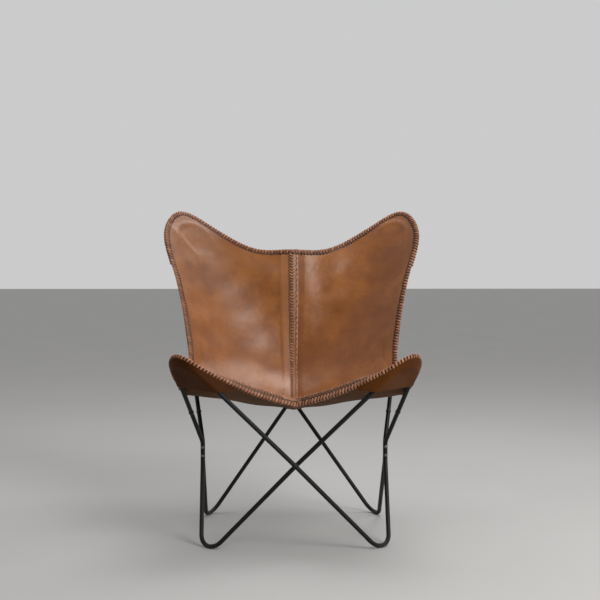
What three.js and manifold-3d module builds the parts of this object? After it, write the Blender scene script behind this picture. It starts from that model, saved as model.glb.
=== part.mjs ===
// Butterfly sling chair: a laced leather sling hung by four corner pockets on a bent steel rod frame.
// Millimetres, +Z up, the sitter faces -Y, the origin is on the floor under the middle of the chair.
import * as THREE from 'three';
import { mergeVertices } from 'three/addons/utils/BufferGeometryUtils.js';
import Module from 'manifold-3d';

const wasm = await Module();
wasm.setup();

// Rod and its bends: a corner is where the straight stretches beside a bend would meet
const ROD_DIAMETER = 12;
const ROD_SIDES = 12;
const HORN_BEND_RADIUS = 54;
const FOOT_BEND_RADIUS = 45;
const SIDE_BEND_RADIUS = 25;
const BEND_STEP_DEGREES = 11;
const FLOOR_WEAR = 0.8;
const CLEARANCE = 0.3;

// Side joints, where the front and the rear frame stand back to back
const SIDE_HALF_WIDTH = 256;
const SIDE_Y = -70;
const SIDE_HEIGHT = 234;
const SIDE_LENGTH = 52;
const SCREW_SPACING = 24;
const SCREW_DIAMETER = 5;
const SCREW_HEAD_DIAMETER = 9;
const SCREW_HEAD_HEIGHT = 3.2;
const SCREW_END = 1.5;
const NUT_ACROSS_FLATS = 8;
const NUT_THICKNESS = 4;

// Front frame
const FRONT_HORN_HALF_WIDTH = 341;
const FRONT_HORN_Y = -358;
const FRONT_HORN_HEIGHT = 567;
const FRONT_FOOT_HALF_WIDTH = 251.5;
const FRONT_FOOT_Y = -251;
const FRONT_CROSSING_HEIGHT = 228;
const FRONT_WELD_ALONG_ARM = 130;

// Rear frame
const REAR_HORN_HALF_WIDTH = 396;
const REAR_HORN_Y = 444;
const REAR_HORN_HEIGHT = 1011;
const REAR_FOOT_HALF_WIDTH = 261;
const REAR_FOOT_Y = 209;
const REAR_CROSSING_HEIGHT = 338;
const REAR_WELD_ALONG_ARM = 95;

// Weld beads
const CROSSING_WELD_DIAMETER = 17;
const BUTT_WELD_WIDTH = 6;
const BUTT_WELD_RISE = 0.8;

// Sling: leather thickness, its lie over the rods and the middle of its front edge, seat and top edge
const LEATHER = 3;
const CORNER_ROUNDNESS = 9;
const ROD_COVER_WIDTH = 48;
const ROD_COVER_SLOPE = 1.6;
const POCKET_ROOM = 1.2;
const POCKET_STEPS = 28;
const POCKET_BENDS = 3;
const SLING_ROWS = 25;
const SLING_COLUMNS = 15;
const EDGE_CROWDING = 0.6;
const FRONT_EDGE_Y = -232;
const FRONT_EDGE_HEIGHT = 376;
const HEM_RISE = 20;
const SEAT_FRONT_Y = -110;
const SEAT_FRONT_HEIGHT = 362;
const SEAT_LOW_Y = 60;
const SEAT_LOW_HEIGHT = 344;
const BACK_FOOT_Y = 215;
const BACK_FOOT_HEIGHT = 425;
const TOP_EDGE_Y = 348;
const TOP_EDGE_HEIGHT = 800;

// Sling edges between the horns
const FRONT_EDGE_MID = new THREE.Vector3(130, -305, 427);
const TOP_EDGE_MID = new THREE.Vector3(112, 366, 803);
const TOP_EDGE_SHOULDER = new THREE.Vector3(228, 402, 859);
const SIDE_EDGE_LOW = new THREE.Vector3(300, -100, 402);
const SIDE_EDGE_RISE = new THREE.Vector3(303, 20, 432);
const SIDE_EDGE_BACK = new THREE.Vector3(307, 85, 497);

// Sling edges on the horns: distance down from the rod's corner, then out to the arm's side
const FRONT_HORN_CORNER = [10, 8];
const FRONT_HORN_FRONT = [97, -54];
const FRONT_HORN_SIDE = [102, 71];
const FRONT_HORN_MOUTH = [202, 98];
const REAR_HORN_CORNER = [56, 8];
const REAR_HORN_SIDE = [199, 100];
const REAR_HORN_ARM = [370, 120];
const REAR_HORN_LOW = [504, 145];

// Pockets, hem, seam and lacing, with places on the sling from 0 at its middle to 1 at its edges
const FRONT_POCKET_EDGE_SHARE = 0.45;
const FRONT_POCKET_SIDE_SHARE = 0.64;
const REAR_POCKET_EDGE_SHARE = 0.6;
const REAR_POCKET_SIDE_SHARE = 0.5;
const FRONT_MOUTH_LEAN = 0.8;
const REAR_MOUTH_LEAN = 0.4;
const POCKET_SPARE_SHARE = 0.08;
const HEM_SHARE = 0.055;
const HEM_FADE_SHARE = 0.32;
const HEM_WIDE_SHARE = 0.4;
const HEM_END_SHARE = 0.8;
const SEAM_UNDER_SHARE = -0.075;
const SEAM_LACE_SHARE = -0.015;
const SEAM_STITCH_SHARE = 0.03;
const SEAM_LIP_SHARE = 0.042;
const SEAM_RISE_SHARE = 0.1;
const EDGE_LACE_DIAMETER = 5;
const SEAM_LACE_DIAMETER = 4;
const SEAM_STITCH_DIAMETER = 2.4;
const HEM_LACE_DIAMETER = 3;
const LACE_SIDES = 6;

const ROD_RADIUS = ROD_DIAMETER / 2;
const ROD_PITCH = ROD_DIAMETER + CLEARANCE;
const HALF_LEATHER = LEATHER / 2;
const SLING_TO_ROD = ROD_RADIUS + CLEARANCE + HALF_LEATHER;

// Finishes
const blackIron = { color: 0x17181a, roughness: 0.45, metalness: 0.6 };
const darkBead = { color: 0x1d1e20, roughness: 0.6, metalness: 0.5 };
const zincSteel = { color: 0x3a3b3d, roughness: 0.35, metalness: 0.9 };
const tanLeather = { color: 0x8f5a33, roughness: 0.42, metalness: 0 };
const darkLeather = { color: 0x5b3820, roughness: 0.55, metalness: 0 };
const paleLace = { color: 0xa9714b, roughness: 0.6, metalness: 0 };

const vec = (x, y, z) => new THREE.Vector3(x, y, z);
const mirrored = (point, side) => vec(point.x * side, point.y, point.z);

// A path through rings, each a point with its own direction, so that straight stretches take one step
class RingPath extends THREE.Curve {
  constructor(rings) {
    super();
    this.rings = rings;
  }

  getPoint(share, target = new THREE.Vector3()) {
    const place = share * (this.rings.length - 1);
    const index = Math.min(Math.floor(place + 1e-6), this.rings.length - 2);
    const { point } = this.rings[index];
    return target.lerpVectors(point, this.rings[index + 1].point, place - index);
  }

  getPointAt(share, target) {
    return this.getPoint(share, target);
  }

  getTangentAt(share, target = new THREE.Vector3()) {
    const index = Math.round(share * (this.rings.length - 1));
    return target.copy(this.rings[index].direction);
  }
}

// The bend at a corner between two neighbours
function bendAt(before, corner, after, radius) {
  const back = before.clone().sub(corner).normalize();
  const on = after.clone().sub(corner).normalize();
  const half = back.angleTo(on) / 2;
  const middle = back.clone().add(on).normalize();
  const centre = corner.clone().addScaledVector(middle, radius / Math.sin(half));
  const start = corner.clone().addScaledVector(back, radius / Math.tan(half));
  const axis = back.clone().cross(on).normalize();
  return { back, on, middle, centre, start, axis, turn: Math.PI - 2 * half };
}

// Rings of a rod through its corners, each corner with its bend radius, or 0 for a slight kink
function rodRings(corners) {
  const rings = [];
  const last = corners.length - 1;
  corners.forEach(({ at, radius }, index) => {
    if (index === 0 || index === last) {
      const from = corners[Math.max(index - 1, 0)].at;
      const to = corners[Math.min(index + 1, last)].at;
      rings.push({ point: at, direction: to.clone().sub(from).normalize() });
      return;
    }
    const bend = bendAt(corners[index - 1].at, at, corners[index + 1].at, radius);
    if (radius === 0) {
      rings.push({ point: at, direction: bend.on.clone().sub(bend.back).normalize() });
      return;
    }
    const steps = Math.max(2, Math.ceil(THREE.MathUtils.radToDeg(bend.turn) / BEND_STEP_DEGREES));
    for (let step = 0; step <= steps; step++) {
      const angle = -bend.turn * step / steps;
      const arm = bend.start.clone().sub(bend.centre).applyAxisAngle(bend.axis, angle);
      const direction = bend.back.clone().negate().applyAxisAngle(bend.axis, angle);
      rings.push({ point: bend.centre.clone().add(arm), direction });
    }
  });
  return rings;
}

// Points along rings, close enough together to lay leather over
function densePoints(rings, spacing) {
  const points = [];
  for (let index = 1; index < rings.length; index++) {
    const from = rings[index - 1].point;
    const to = rings[index].point;
    const steps = Math.max(1, Math.ceil(from.distanceTo(to) / spacing));
    for (let step = 0; step < steps; step++) {
      points.push(from.clone().lerp(to, step / steps));
    }
  }
  points.push(rings[rings.length - 1].point);
  return points;
}

// Closed solids with faces that point outwards
function facingOut(geometry) {
  geometry.deleteAttribute('normal');
  geometry.deleteAttribute('uv');
  const merged = mergeVertices(geometry, 1e-3);
  const position = merged.attributes.position;
  const index = merged.index.array;
  const corner = [vec(), vec(), vec()];
  const kept = [];
  let volume = 0;
  for (let at = 0; at < index.length; at += 3) {
    const [a, b, c] = [index[at], index[at + 1], index[at + 2]];
    if (a === b || b === c || c === a) continue;
    corner.forEach((point, which) => point.fromBufferAttribute(position, index[at + which]));
    volume += corner[0].dot(corner[1].clone().cross(corner[2]));
    kept.push(a, b, c);
  }
  if (volume < 0) kept.reverse();
  merged.setIndex(kept);
  return merged;
}

function toSolid(geometry) {
  const closed = facingOut(geometry);
  const vertProperties = new Float32Array(closed.attributes.position.array);
  const triVerts = new Uint32Array(closed.index.array);
  return new wasm.Manifold(new wasm.Mesh({ numProp: 3, vertProperties, triVerts }));
}

function fromSolid(solid) {
  const { vertProperties, triVerts } = solid.getMesh();
  const geometry = new THREE.BufferGeometry();
  geometry.setAttribute('position', new THREE.BufferAttribute(vertProperties, 3));
  geometry.setIndex(new THREE.BufferAttribute(triVerts, 1));
  return geometry;
}

// A round bar along rings
function barGeometry(rings, radius, sides) {
  const outline = [];
  for (let side = 0; side < sides; side++) {
    const angle = 2 * Math.PI * (side + 0.5) / sides;
    outline.push(new THREE.Vector2(radius * Math.cos(angle), radius * Math.sin(angle)));
  }
  return new THREE.ExtrudeGeometry(new THREE.Shape(outline), {
    steps: rings.length - 1,
    bevelEnabled: false,
    extrudePath: new RingPath(rings),
  });
}

// A closed sheet between two faces, each a grid of points with the same rows and columns;
// crossed tells which way a cell is split into triangles
function sheetGeometry(upper, lower, crossed) {
  const rows = upper.length;
  const columns = upper[0].length;
  const positions = [];
  [upper, lower].forEach((face) => face.flat().forEach((point) => positions.push(...point.toArray())));
  const index = [];
  const top = (row, column) => row * columns + column;
  const under = (row, column) => rows * columns + top(row, column);
  for (let row = 0; row < rows - 1; row++) {
    for (let column = 0; column < columns - 1; column++) {
      const cell = [[row, column], [row, column + 1], [row + 1, column + 1], [row + 1, column]];
      if (crossed(row, column)) cell.push(cell.shift());
      const [a, b, c, d] = cell.map((corner) => top(...corner));
      index.push(a, b, c, a, c, d);
      const [e, f, g, h] = cell.map((corner) => under(...corner));
      index.push(e, g, f, e, h, g);
    }
  }
  const rim = [];
  for (let column = 0; column < columns - 1; column++) rim.push([0, column]);
  for (let row = 0; row < rows - 1; row++) rim.push([row, columns - 1]);
  for (let column = columns - 1; column > 0; column--) rim.push([rows - 1, column]);
  for (let row = rows - 1; row > 0; row--) rim.push([row, 0]);
  rim.forEach((from, place) => {
    const to = rim[(place + 1) % rim.length];
    const [a, b] = [top(...from), top(...to)];
    const [c, d] = [under(...to), under(...from)];
    index.push(b, a, d, b, d, c);
  });
  const geometry = new THREE.BufferGeometry();
  geometry.setAttribute('position', new THREE.Float32BufferAttribute(positions, 3));
  geometry.setIndex(index);
  return facingOut(geometry);
}

const chair = new THREE.Group();

function addPiece(name, geometry, finish) {
  const piece = new THREE.Mesh(geometry, new THREE.MeshStandardMaterial(finish));
  piece.name = name;
  chair.add(piece);
  return piece;
}

// Frame corners
const sideCorner = (side, depth, level) => vec(
  side * SIDE_HALF_WIDTH,
  SIDE_Y + depth * ROD_PITCH / 2,
  SIDE_HEIGHT + level * SIDE_LENGTH / 2,
);

// The foot's corner, lowered until the underside of its bend is worn flat on the floor
function footCorner(halfWidth, y, legTop, crossing) {
  const corner = vec(halfWidth, y, 0);
  for (let round = 0; round < 30; round++) {
    const { centre, axis } = bendAt(legTop, corner, crossing, FOOT_BEND_RADIUS);
    const lowest = centre.z - FOOT_BEND_RADIUS * Math.sqrt(1 - axis.z * axis.z) - ROD_RADIUS;
    corner.z -= lowest + FLOOR_WEAR;
  }
  return corner;
}

function frameCorners(depth, horn, foot, crossingHeight, weldAlongArm) {
  const apex = vec(...horn);
  const share = foot[0] / (foot[0] + apex.x);
  const crossing = vec(0, THREE.MathUtils.lerp(foot[1], apex.y, share), crossingHeight);
  const armFoot = sideCorner(1, depth, 1);
  const legTop = sideCorner(1, depth, -1);
  const weld = armFoot.clone().add(apex.clone().sub(armFoot).setLength(weldAlongArm));
  return { apex, crossing, armFoot, legTop, weld, footPlace: foot };
}

const front = frameCorners(
  -1,
  [FRONT_HORN_HALF_WIDTH, FRONT_HORN_Y, FRONT_HORN_HEIGHT],
  [FRONT_FOOT_HALF_WIDTH, FRONT_FOOT_Y],
  FRONT_CROSSING_HEIGHT,
  FRONT_WELD_ALONG_ARM,
);
const rear = frameCorners(
  1,
  [REAR_HORN_HALF_WIDTH, REAR_HORN_Y, REAR_HORN_HEIGHT],
  [REAR_FOOT_HALF_WIDTH, REAR_FOOT_Y],
  REAR_CROSSING_HEIGHT,
  REAR_WELD_ALONG_ARM,
);

// One bent rod: from the weld on its own arm over its horn, down the diagonal, round the far foot,
// up the far leg and past the side joint to the weld on the far arm
function rodCorners(frame, side, crossingShift) {
  const { apex, armFoot, legTop, weld, footPlace } = frame;
  const crossing = frame.crossing.clone().add(vec(0, crossingShift * ROD_PITCH / 2, 0));
  const foot = footCorner(...footPlace, legTop, crossing);
  const alongArm = apex.clone().sub(armFoot).normalize();
  const start = weld.clone().addScaledVector(alongArm, CLEARANCE / 2);
  const end = weld.clone().addScaledVector(alongArm, -CLEARANCE / 2);
  return [
    { at: mirrored(start, side), radius: 0 },
    { at: mirrored(apex, side), radius: HORN_BEND_RADIUS },
    { at: crossing, radius: 0 },
    { at: mirrored(foot, -side), radius: FOOT_BEND_RADIUS },
    { at: mirrored(legTop, -side), radius: SIDE_BEND_RADIUS },
    { at: mirrored(armFoot, -side), radius: SIDE_BEND_RADIUS },
    { at: mirrored(end, -side), radius: 0 },
  ];
}

const SIDES = [['left', -1], ['right', 1]];
const FRAMES = [['front', front], ['rear', rear]];

const rods = [];
FRAMES.forEach(([place, frame]) => {
  SIDES.forEach(([hand, side]) => {
    const rings = rodRings(rodCorners(frame, side, side));
    rods.push({ name: `${place}_frame_${hand}_rod`, frame, rings });
  });
});

// Screws and nuts of the side joints, along Y through both rods
const screwPlaces = [];
SIDES.forEach(([hand, side]) => {
  [['upper', 1], ['lower', -1]].forEach(([level, up]) => {
    const at = vec(side * SIDE_HALF_WIDTH, SIDE_Y, SIDE_HEIGHT + up * SCREW_SPACING / 2);
    screwPlaces.push({ name: `${hand}_${level}`, at });
  });
});
const headSeat = ROD_PITCH / 2 + ROD_RADIUS + CLEARANCE / 2;

function screwGeometry() {
  const radius = SCREW_DIAMETER / 2;
  const end = -(headSeat + NUT_THICKNESS + SCREW_END);
  const profile = [[0, end], [radius, end], [radius, headSeat]].map(([x, y]) => new THREE.Vector2(x, y));
  const headRadius = SCREW_HEAD_DIAMETER / 2;
  const steps = 4;
  for (let step = 0; step <= steps; step++) {
    const angle = Math.PI / 2 * step / steps;
    const rise = headSeat + SCREW_HEAD_HEIGHT * Math.sin(angle);
    profile.push(new THREE.Vector2(step === steps ? 0 : headRadius * Math.cos(angle), rise));
  }
  return facingOut(new THREE.LatheGeometry(profile, ROD_SIDES).rotateX(Math.PI));
}

function nutGeometry() {
  const hexagon = [];
  const cornerRadius = NUT_ACROSS_FLATS / 2 / Math.cos(Math.PI / 6);
  for (let corner = 0; corner < 6; corner++) {
    const angle = Math.PI / 3 * corner;
    hexagon.push(new THREE.Vector2(cornerRadius * Math.cos(angle), cornerRadius * Math.sin(angle)));
  }
  const shape = new THREE.Shape(hexagon);
  const bore = new THREE.Path();
  bore.absarc(0, 0, SCREW_DIAMETER / 2 + CLEARANCE, 0, 2 * Math.PI, true);
  shape.holes.push(bore);
  const options = { depth: NUT_THICKNESS, bevelEnabled: false, curveSegments: ROD_SIDES };
  return facingOut(new THREE.ExtrudeGeometry(shape, options).rotateX(-Math.PI / 2));
}

// Rods: drilled for the screws and flat where they stand on the floor
const roomBelow = 4 * FOOT_BEND_RADIUS;
const span = 4 * REAR_HORN_HALF_WIDTH;
const floor = toSolid(new THREE.BoxGeometry(span, span, roomBelow).translate(0, 0, -roomBelow / 2));
const holeLength = 2 * (headSeat + ROD_DIAMETER);
const holeRadius = SCREW_DIAMETER / 2 + CLEARANCE;
const holes = screwPlaces.map(({ at }) => {
  const hole = new THREE.CylinderGeometry(holeRadius, holeRadius, holeLength, ROD_SIDES);
  return toSolid(hole.translate(at.x, at.y, at.z));
});
rods.forEach((rod) => {
  let solid = toSolid(barGeometry(rod.rings, ROD_RADIUS, ROD_SIDES)).subtract(floor);
  holes.forEach((hole) => {
    solid = solid.subtract(hole);
  });
  addPiece(rod.name, fromSolid(solid), blackIron);
});
screwPlaces.forEach(({ name, at }) => {
  addPiece(`side_screw_${name}`, screwGeometry(), zincSteel).position.copy(at);
  addPiece(`side_nut_${name}`, nutGeometry(), zincSteel).position.set(at.x, at.y + headSeat, at.z);
});

// Welds: a bead in the crook of each crossing, and a collar round each butt joint
FRAMES.forEach(([place, frame]) => {
  const ball = new THREE.SphereGeometry(CROSSING_WELD_DIAMETER / 2, 16, 10);
  let bead = toSolid(ball.translate(...frame.crossing.toArray()));
  rods.filter((rod) => rod.frame === frame).forEach(({ rings }) => {
    bead = bead.subtract(toSolid(barGeometry(rings, ROD_RADIUS + 0.7 * CLEARANCE, ROD_SIDES)));
  });
  addPiece(`${place}_crossing_weld`, fromSolid(bead), darkBead);
  SIDES.forEach(([hand, side]) => {
    const inner = ROD_RADIUS + CLEARANCE;
    const outer = inner + BUTT_WELD_RISE;
    const half = BUTT_WELD_WIDTH / 2;
    const profile = [[inner, -half], [outer, -half / 2], [outer, half / 2], [inner, half], [inner, -half]];
    const collar = new THREE.LatheGeometry(profile.map(([x, y]) => new THREE.Vector2(x, y)), ROD_SIDES);
    const weld = addPiece(`${place}_${hand}_butt_weld`, facingOut(collar), darkBead);
    const alongArm = mirrored(frame.apex.clone().sub(frame.armFoot).normalize(), side);
    weld.position.copy(mirrored(frame.weld, side));
    weld.quaternion.setFromUnitVectors(vec(0, 1, 0), alongArm);
  });
});

// Horns: the plane of arm and diagonal, with the face that the sling lies on
function hornPlane({ apex, armFoot, crossing }) {
  const arm = apex.clone().sub(armFoot).normalize();
  const diagonal = apex.clone().sub(crossing).normalize();
  const down = arm.clone().add(diagonal).normalize().negate();
  const out = diagonal.clone().sub(arm).normalize();
  const face = arm.clone().cross(diagonal).normalize();
  if (face.z < 0) face.negate();
  const at = ([alongDown, toArm]) => apex.clone()
    .addScaledVector(down, alongDown)
    .addScaledVector(out, toArm)
    .addScaledVector(face, SLING_TO_ROD);
  return { apex, face, at };
}
const frontHorn = hornPlane(front);
const rearHorn = hornPlane(rear);

// Sling edges and middle line of the right half
const frontCorner = frontHorn.at(FRONT_HORN_CORNER);
const rearCorner = rearHorn.at(REAR_HORN_CORNER);
const frontMiddle = vec(0, FRONT_EDGE_Y, FRONT_EDGE_HEIGHT);
const topMiddle = vec(0, TOP_EDGE_Y, TOP_EDGE_HEIGHT);
const curve = (...points) => new THREE.CatmullRomCurve3(points);
const frontEdge = curve(frontMiddle, FRONT_EDGE_MID, frontHorn.at(FRONT_HORN_FRONT), frontCorner);
const topEdge = curve(topMiddle, TOP_EDGE_MID, TOP_EDGE_SHOULDER, rearCorner);
const sideEdge = curve(
  frontCorner,
  frontHorn.at(FRONT_HORN_SIDE),
  frontHorn.at(FRONT_HORN_MOUTH),
  SIDE_EDGE_LOW,
  SIDE_EDGE_RISE,
  SIDE_EDGE_BACK,
  rearHorn.at(REAR_HORN_LOW),
  rearHorn.at(REAR_HORN_ARM),
  rearHorn.at(REAR_HORN_SIDE),
  rearCorner,
);
const middleLine = curve(
  frontMiddle,
  vec(0, SEAT_FRONT_Y, SEAT_FRONT_HEIGHT),
  vec(0, SEAT_LOW_Y, SEAT_LOW_HEIGHT),
  vec(0, BACK_FOOT_Y, BACK_FOOT_HEIGHT),
  topMiddle,
);

// The rise of the stiff hem behind the front edge, which fades into the seat and towards the horns
function hemRise(across, along) {
  const fromEdge = 2 * along;
  const smooth = THREE.MathUtils.smoothstep;
  const rise = fromEdge < HEM_SHARE ? Math.sin(Math.PI / 2 * fromEdge / HEM_SHARE)
    : 1 - smooth(fromEdge, HEM_SHARE, HEM_FADE_SHARE);
  return HEM_RISE * rise * (1 - smooth(across, HEM_WIDE_SHARE, HEM_END_SHARE));
}

// The hanging sheet: straight across at the middle, then blended to its four edges
function hangingPoint(across, along) {
  const middle = middleLine.getPointAt(along);
  const edge = sideEdge.getPointAt(along);
  const curveIn = across * across;
  const blend = (from, to) => vec(
    THREE.MathUtils.lerp(from.x, to.x, across),
    THREE.MathUtils.lerp(from.y, to.y, curveIn),
    THREE.MathUtils.lerp(from.z, to.z, curveIn),
  );
  const point = blend(middle, edge);
  const toFront = (1 - along) ** 2;
  const toTop = along ** 2;
  point.addScaledVector(frontEdge.getPointAt(across).sub(blend(frontMiddle, frontCorner)), toFront);
  point.addScaledVector(topEdge.getPointAt(across).sub(blend(topMiddle, rearCorner)), toTop);
  point.z += hemRise(across, along);
  return point;
}

// Points along the rods above the side joints, which the sling has to clear
const rodPoints = rods.map(({ frame, rings }) => ({
  face: frame === front ? frontHorn.face : rearHorn.face,
  points: densePoints(rings, ROD_RADIUS).filter(({ z }) => z > SIDE_HEIGHT + SIDE_LENGTH),
}));

// A point of the sling moved along the horn's face until it clears the rods on the sitter's side
function clearOfRods(point, hand) {
  const offset = vec();
  rodPoints.forEach(({ face, points }) => {
    const up = mirrored(face, hand);
    let lift = 0;
    points.forEach((rodPoint) => {
      if (rodPoint.x * hand < 0) return;
      offset.subVectors(point, rodPoint);
      const height = offset.dot(up);
      if (Math.abs(height) > ROD_COVER_WIDTH) return;
      const beside = (offset.lengthSq() - height * height) / (ROD_COVER_WIDTH * ROD_COVER_WIDTH);
      const cover = Math.min(1, ROD_COVER_SLOPE * (1 - beside));
      if (cover > 0) lift = Math.max(lift, cover * (SLING_TO_ROD - height));
    });
    point.addScaledVector(up, lift);
  });
  return point;
}

// A place on the sling, both ways from -1 to 1, drawn in from the corners so that they are round
function roundedPlace(across, along) {
  const [wide, high] = [Math.abs(across), Math.abs(along)];
  const round = (wide ** CORNER_ROUNDNESS + high ** CORNER_ROUNDNESS) ** (1 / CORNER_ROUNDNESS);
  const shrink = round > 0 ? Math.max(wide, high) / round : 1;
  return [across * shrink, along * shrink];
}

function slingPoint(across, along) {
  const hand = across < 0 ? -1 : 1;
  const point = mirrored(hangingPoint(Math.abs(across), (1 + along) / 2), hand);
  return clearOfRods(point, hand);
}

// The middle of the leather at a place, with the direction towards the sitter
function slingPlace(across, along) {
  const step = 0.01;
  const [u, v] = roundedPlace(across, along);
  const inside = (value) => THREE.MathUtils.clamp(value, -1, 1);
  const alongWidth = slingPoint(inside(u + step), v).sub(slingPoint(inside(u - step), v));
  const alongLength = slingPoint(u, inside(v + step)).sub(slingPoint(u, inside(v - step)));
  const normal = alongWidth.cross(alongLength).normalize();
  return { across, along, point: slingPoint(u, v), normal };
}

// Grid lines of the sling: rows from the front edge to the top edge, columns from the seam to the side edge
const rowLines = [-1];
for (let row = 0; row <= SLING_ROWS; row++) {
  const place = row / SLING_ROWS;
  const even = 2 * place - 1;
  const crowded = -Math.cos(Math.PI * place);
  rowLines.push(THREE.MathUtils.mapLinear(even + EDGE_CROWDING * (crowded - even), -1, 1, HEM_SHARE - 1, 1));
}
const sideLines = [];
for (let column = 0; column <= SLING_COLUMNS; column++) {
  const place = column / SLING_COLUMNS;
  const crowded = Math.sin(place * Math.PI / 2);
  sideLines.push(THREE.MathUtils.lerp(SEAM_RISE_SHARE, 1, place + EDGE_CROWDING * (crowded - place)));
}
const seamLines = [SEAM_UNDER_SHARE, SEAM_LACE_SHARE, SEAM_STITCH_SHARE, SEAM_LIP_SHARE];
const rightLines = [...seamLines, ...sideLines];
const leftLines = [...seamLines.slice().reverse(), ...sideLines.map((line) => -line)];
const sheetStep = LEATHER + CLEARANCE;

const gridOf = (columns) => rowLines.map((along) => columns.map((across) => slingPlace(across, along)));
const leftGrid = gridOf(leftLines);
const rightGrid = gridOf(rightLines);

const offsetGrid = (grid, depth) => grid.map((row) => row.map(
  (place) => place.point.clone().addScaledVector(place.normal, depth(place)),
));
const sheetOf = (grid, depth, crossed) => sheetGeometry(
  offsetGrid(grid, (place) => depth(place) + HALF_LEATHER),
  offsetGrid(grid, (place) => depth(place) - HALF_LEATHER),
  crossed,
);

// Panels: the left one lies on the right one's edge at the seam
const inFront = (row) => rowLines[row] < 0;
const inSeam = (column) => column < seamLines.length - 1;
const leftCrossed = (row, column) => inFront(row) !== inSeam(column);
addPiece('sling_left_panel', sheetOf(leftGrid, () => 0, leftCrossed), tanLeather);
const underSeam = ({ across }) => (across < SEAM_RISE_SHARE ? -sheetStep : 0);
addPiece('sling_right_panel', sheetOf(rightGrid, underSeam, inFront), tanLeather);

// The nearest place on a horn's rods, seen along the horn's face, with the way from there to a point
function besideRod(horn, point, hand) {
  const up = mirrored(horn.face, hand);
  const flat = (offset) => offset.addScaledVector(up, -offset.dot(up));
  let nearest = { beside: Infinity };
  rodPoints.filter(({ face }) => face === horn.face).forEach(({ points }) => points.forEach((to, index) => {
    const from = points[Math.max(index - 1, 0)];
    const length = from.distanceTo(to);
    if (to.x * hand < 0 || length === 0 || length > ROD_DIAMETER) return;
    const along = flat(to.clone().sub(from));
    const share = flat(point.clone().sub(from)).dot(along) / along.lengthSq();
    const centre = from.clone().lerp(to, THREE.MathUtils.clamp(share, 0, 1));
    const offset = point.clone().sub(centre);
    const level = offset.dot(up);
    const beside = flat(offset).length();
    if (beside < nearest.beside) nearest = { centre, level, beside, outwards: offset.normalize(), up };
  }));
  return nearest;
}

// The way of a pocket's leather from the panel's edge, drawn tight round the outside of the rod to below it
function pocketWay({ point, normal }, horn, hand) {
  const edge = point.clone().addScaledVector(normal, -sheetStep - 2 * CLEARANCE);
  const { centre, level, beside, outwards, up } = besideRod(horn, edge, hand);
  const wrap = SLING_TO_ROD + POCKET_ROOM;
  const touch = Math.atan2(level, beside) - Math.acos(Math.min(1, wrap / Math.hypot(beside, level)));
  const turn = (touch + Math.PI / 2) / POCKET_BENDS;
  const way = [edge];
  for (let bend = 0.5; bend < POCKET_BENDS; bend++) {
    const angle = touch - bend * turn;
    const reach = wrap / Math.cos(turn / 2);
    way.push(centre.clone()
      .addScaledVector(outwards, reach * Math.cos(angle))
      .addScaledVector(up, reach * Math.sin(angle)));
  }
  return way;
}

// The direction across a sheet at each point of its grid
function acrossSheet(grid) {
  const near = (list, index) => list[THREE.MathUtils.clamp(index, 0, list.length - 1)];
  return grid.map((line, row) => line.map((_, column) => {
    const alongRows = near(grid, row + 1)[column].clone().sub(near(grid, row - 1)[column]);
    const alongColumns = near(line, column + 1).clone().sub(near(line, column - 1));
    return alongRows.cross(alongColumns).normalize();
  }));
}

// Pockets: a second sheet behind each horn, flat between the rods and cut straight across at its mouth,
// where the cut leans towards the horn below the rods
function pocketGeometry(hand, end, horn, onEdge, onSide, lean) {
  const edgeStart = onEdge - POCKET_SPARE_SHARE;
  const sideStop = onSide - POCKET_SPARE_SHARE;
  const edgePart = frontEdge.getLength() * (1 - edgeStart);
  const sidePart = sideEdge.getLength() / 2 * (1 - sideStop);
  const corner = Math.round(POCKET_STEPS * edgePart / (edgePart + sidePart));
  const ways = [];
  for (let step = 0; step <= POCKET_STEPS; step++) {
    const across = THREE.MathUtils.lerp(edgeStart, 1, Math.min(1, step / corner));
    const back = Math.max(0, (step - corner) / (POCKET_STEPS - corner));
    const along = THREE.MathUtils.lerp(1, sideStop, back);
    ways.push(pocketWay(slingPlace(hand * across, end * along), horn, hand));
  }
  const [from, to] = [ways[0], ways[POCKET_STEPS]].map((way) => way[POCKET_BENDS]);
  const grid = ways.map((way, step) => [...way, from.clone().lerp(to, (step + 1) / (POCKET_STEPS + 2))]);
  const normals = acrossSheet(grid);
  const face = (depth) => grid.map((line, row) => line.map(
    (point, column) => point.clone().addScaledVector(normals[row][column], depth),
  ));
  const sheet = toSolid(sheetGeometry(face(HALF_LEATHER), face(-HALF_LEATHER), () => false));
  const edgeEnd = slingPlace(hand * onEdge, end).point;
  const sideEnd = slingPlace(hand, end * onSide).point;
  const up = mirrored(horn.face, hand);
  const mouth = sideEnd.clone().sub(edgeEnd).normalize();
  const away = mouth.clone().cross(up).normalize();
  const middle = edgeEnd.clone().add(sideEnd).multiplyScalar(0.5);
  const tip = slingPlace(hand, end).point;
  if (tip.sub(middle).dot(away) > 0) away.negate();
  const cut = away.clone().addScaledVector(up, -lean).normalize();
  const size = 2 * REAR_HORN_HALF_WIDTH;
  const turn = new THREE.Matrix4().makeBasis(mouth, cut, mouth.clone().cross(cut));
  const cutter = new THREE.BoxGeometry(size, size, size).applyMatrix4(turn);
  const centre = middle.addScaledVector(cut, size / 2);
  return fromSolid(sheet.subtract(toSolid(cutter.translate(centre.x, centre.y, centre.z))));
}

// A lace along places of the sling, standing off by a distance along the leather and one across it
function laceGeometry(places, diameter, standOff) {
  const points = places.map(standOff);
  const rings = points.map((point, index) => {
    const from = points[Math.max(index - 1, 0)];
    const to = points[Math.min(index + 1, points.length - 1)];
    return { point, direction: to.clone().sub(from).normalize() };
  });
  return facingOut(barGeometry(rings, diameter / 2, LACE_SIDES));
}
const onTop = (diameter, room) => ({ point, normal }) => point.clone()
  .addScaledVector(normal, HALF_LEATHER + room + diameter / 2);

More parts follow.
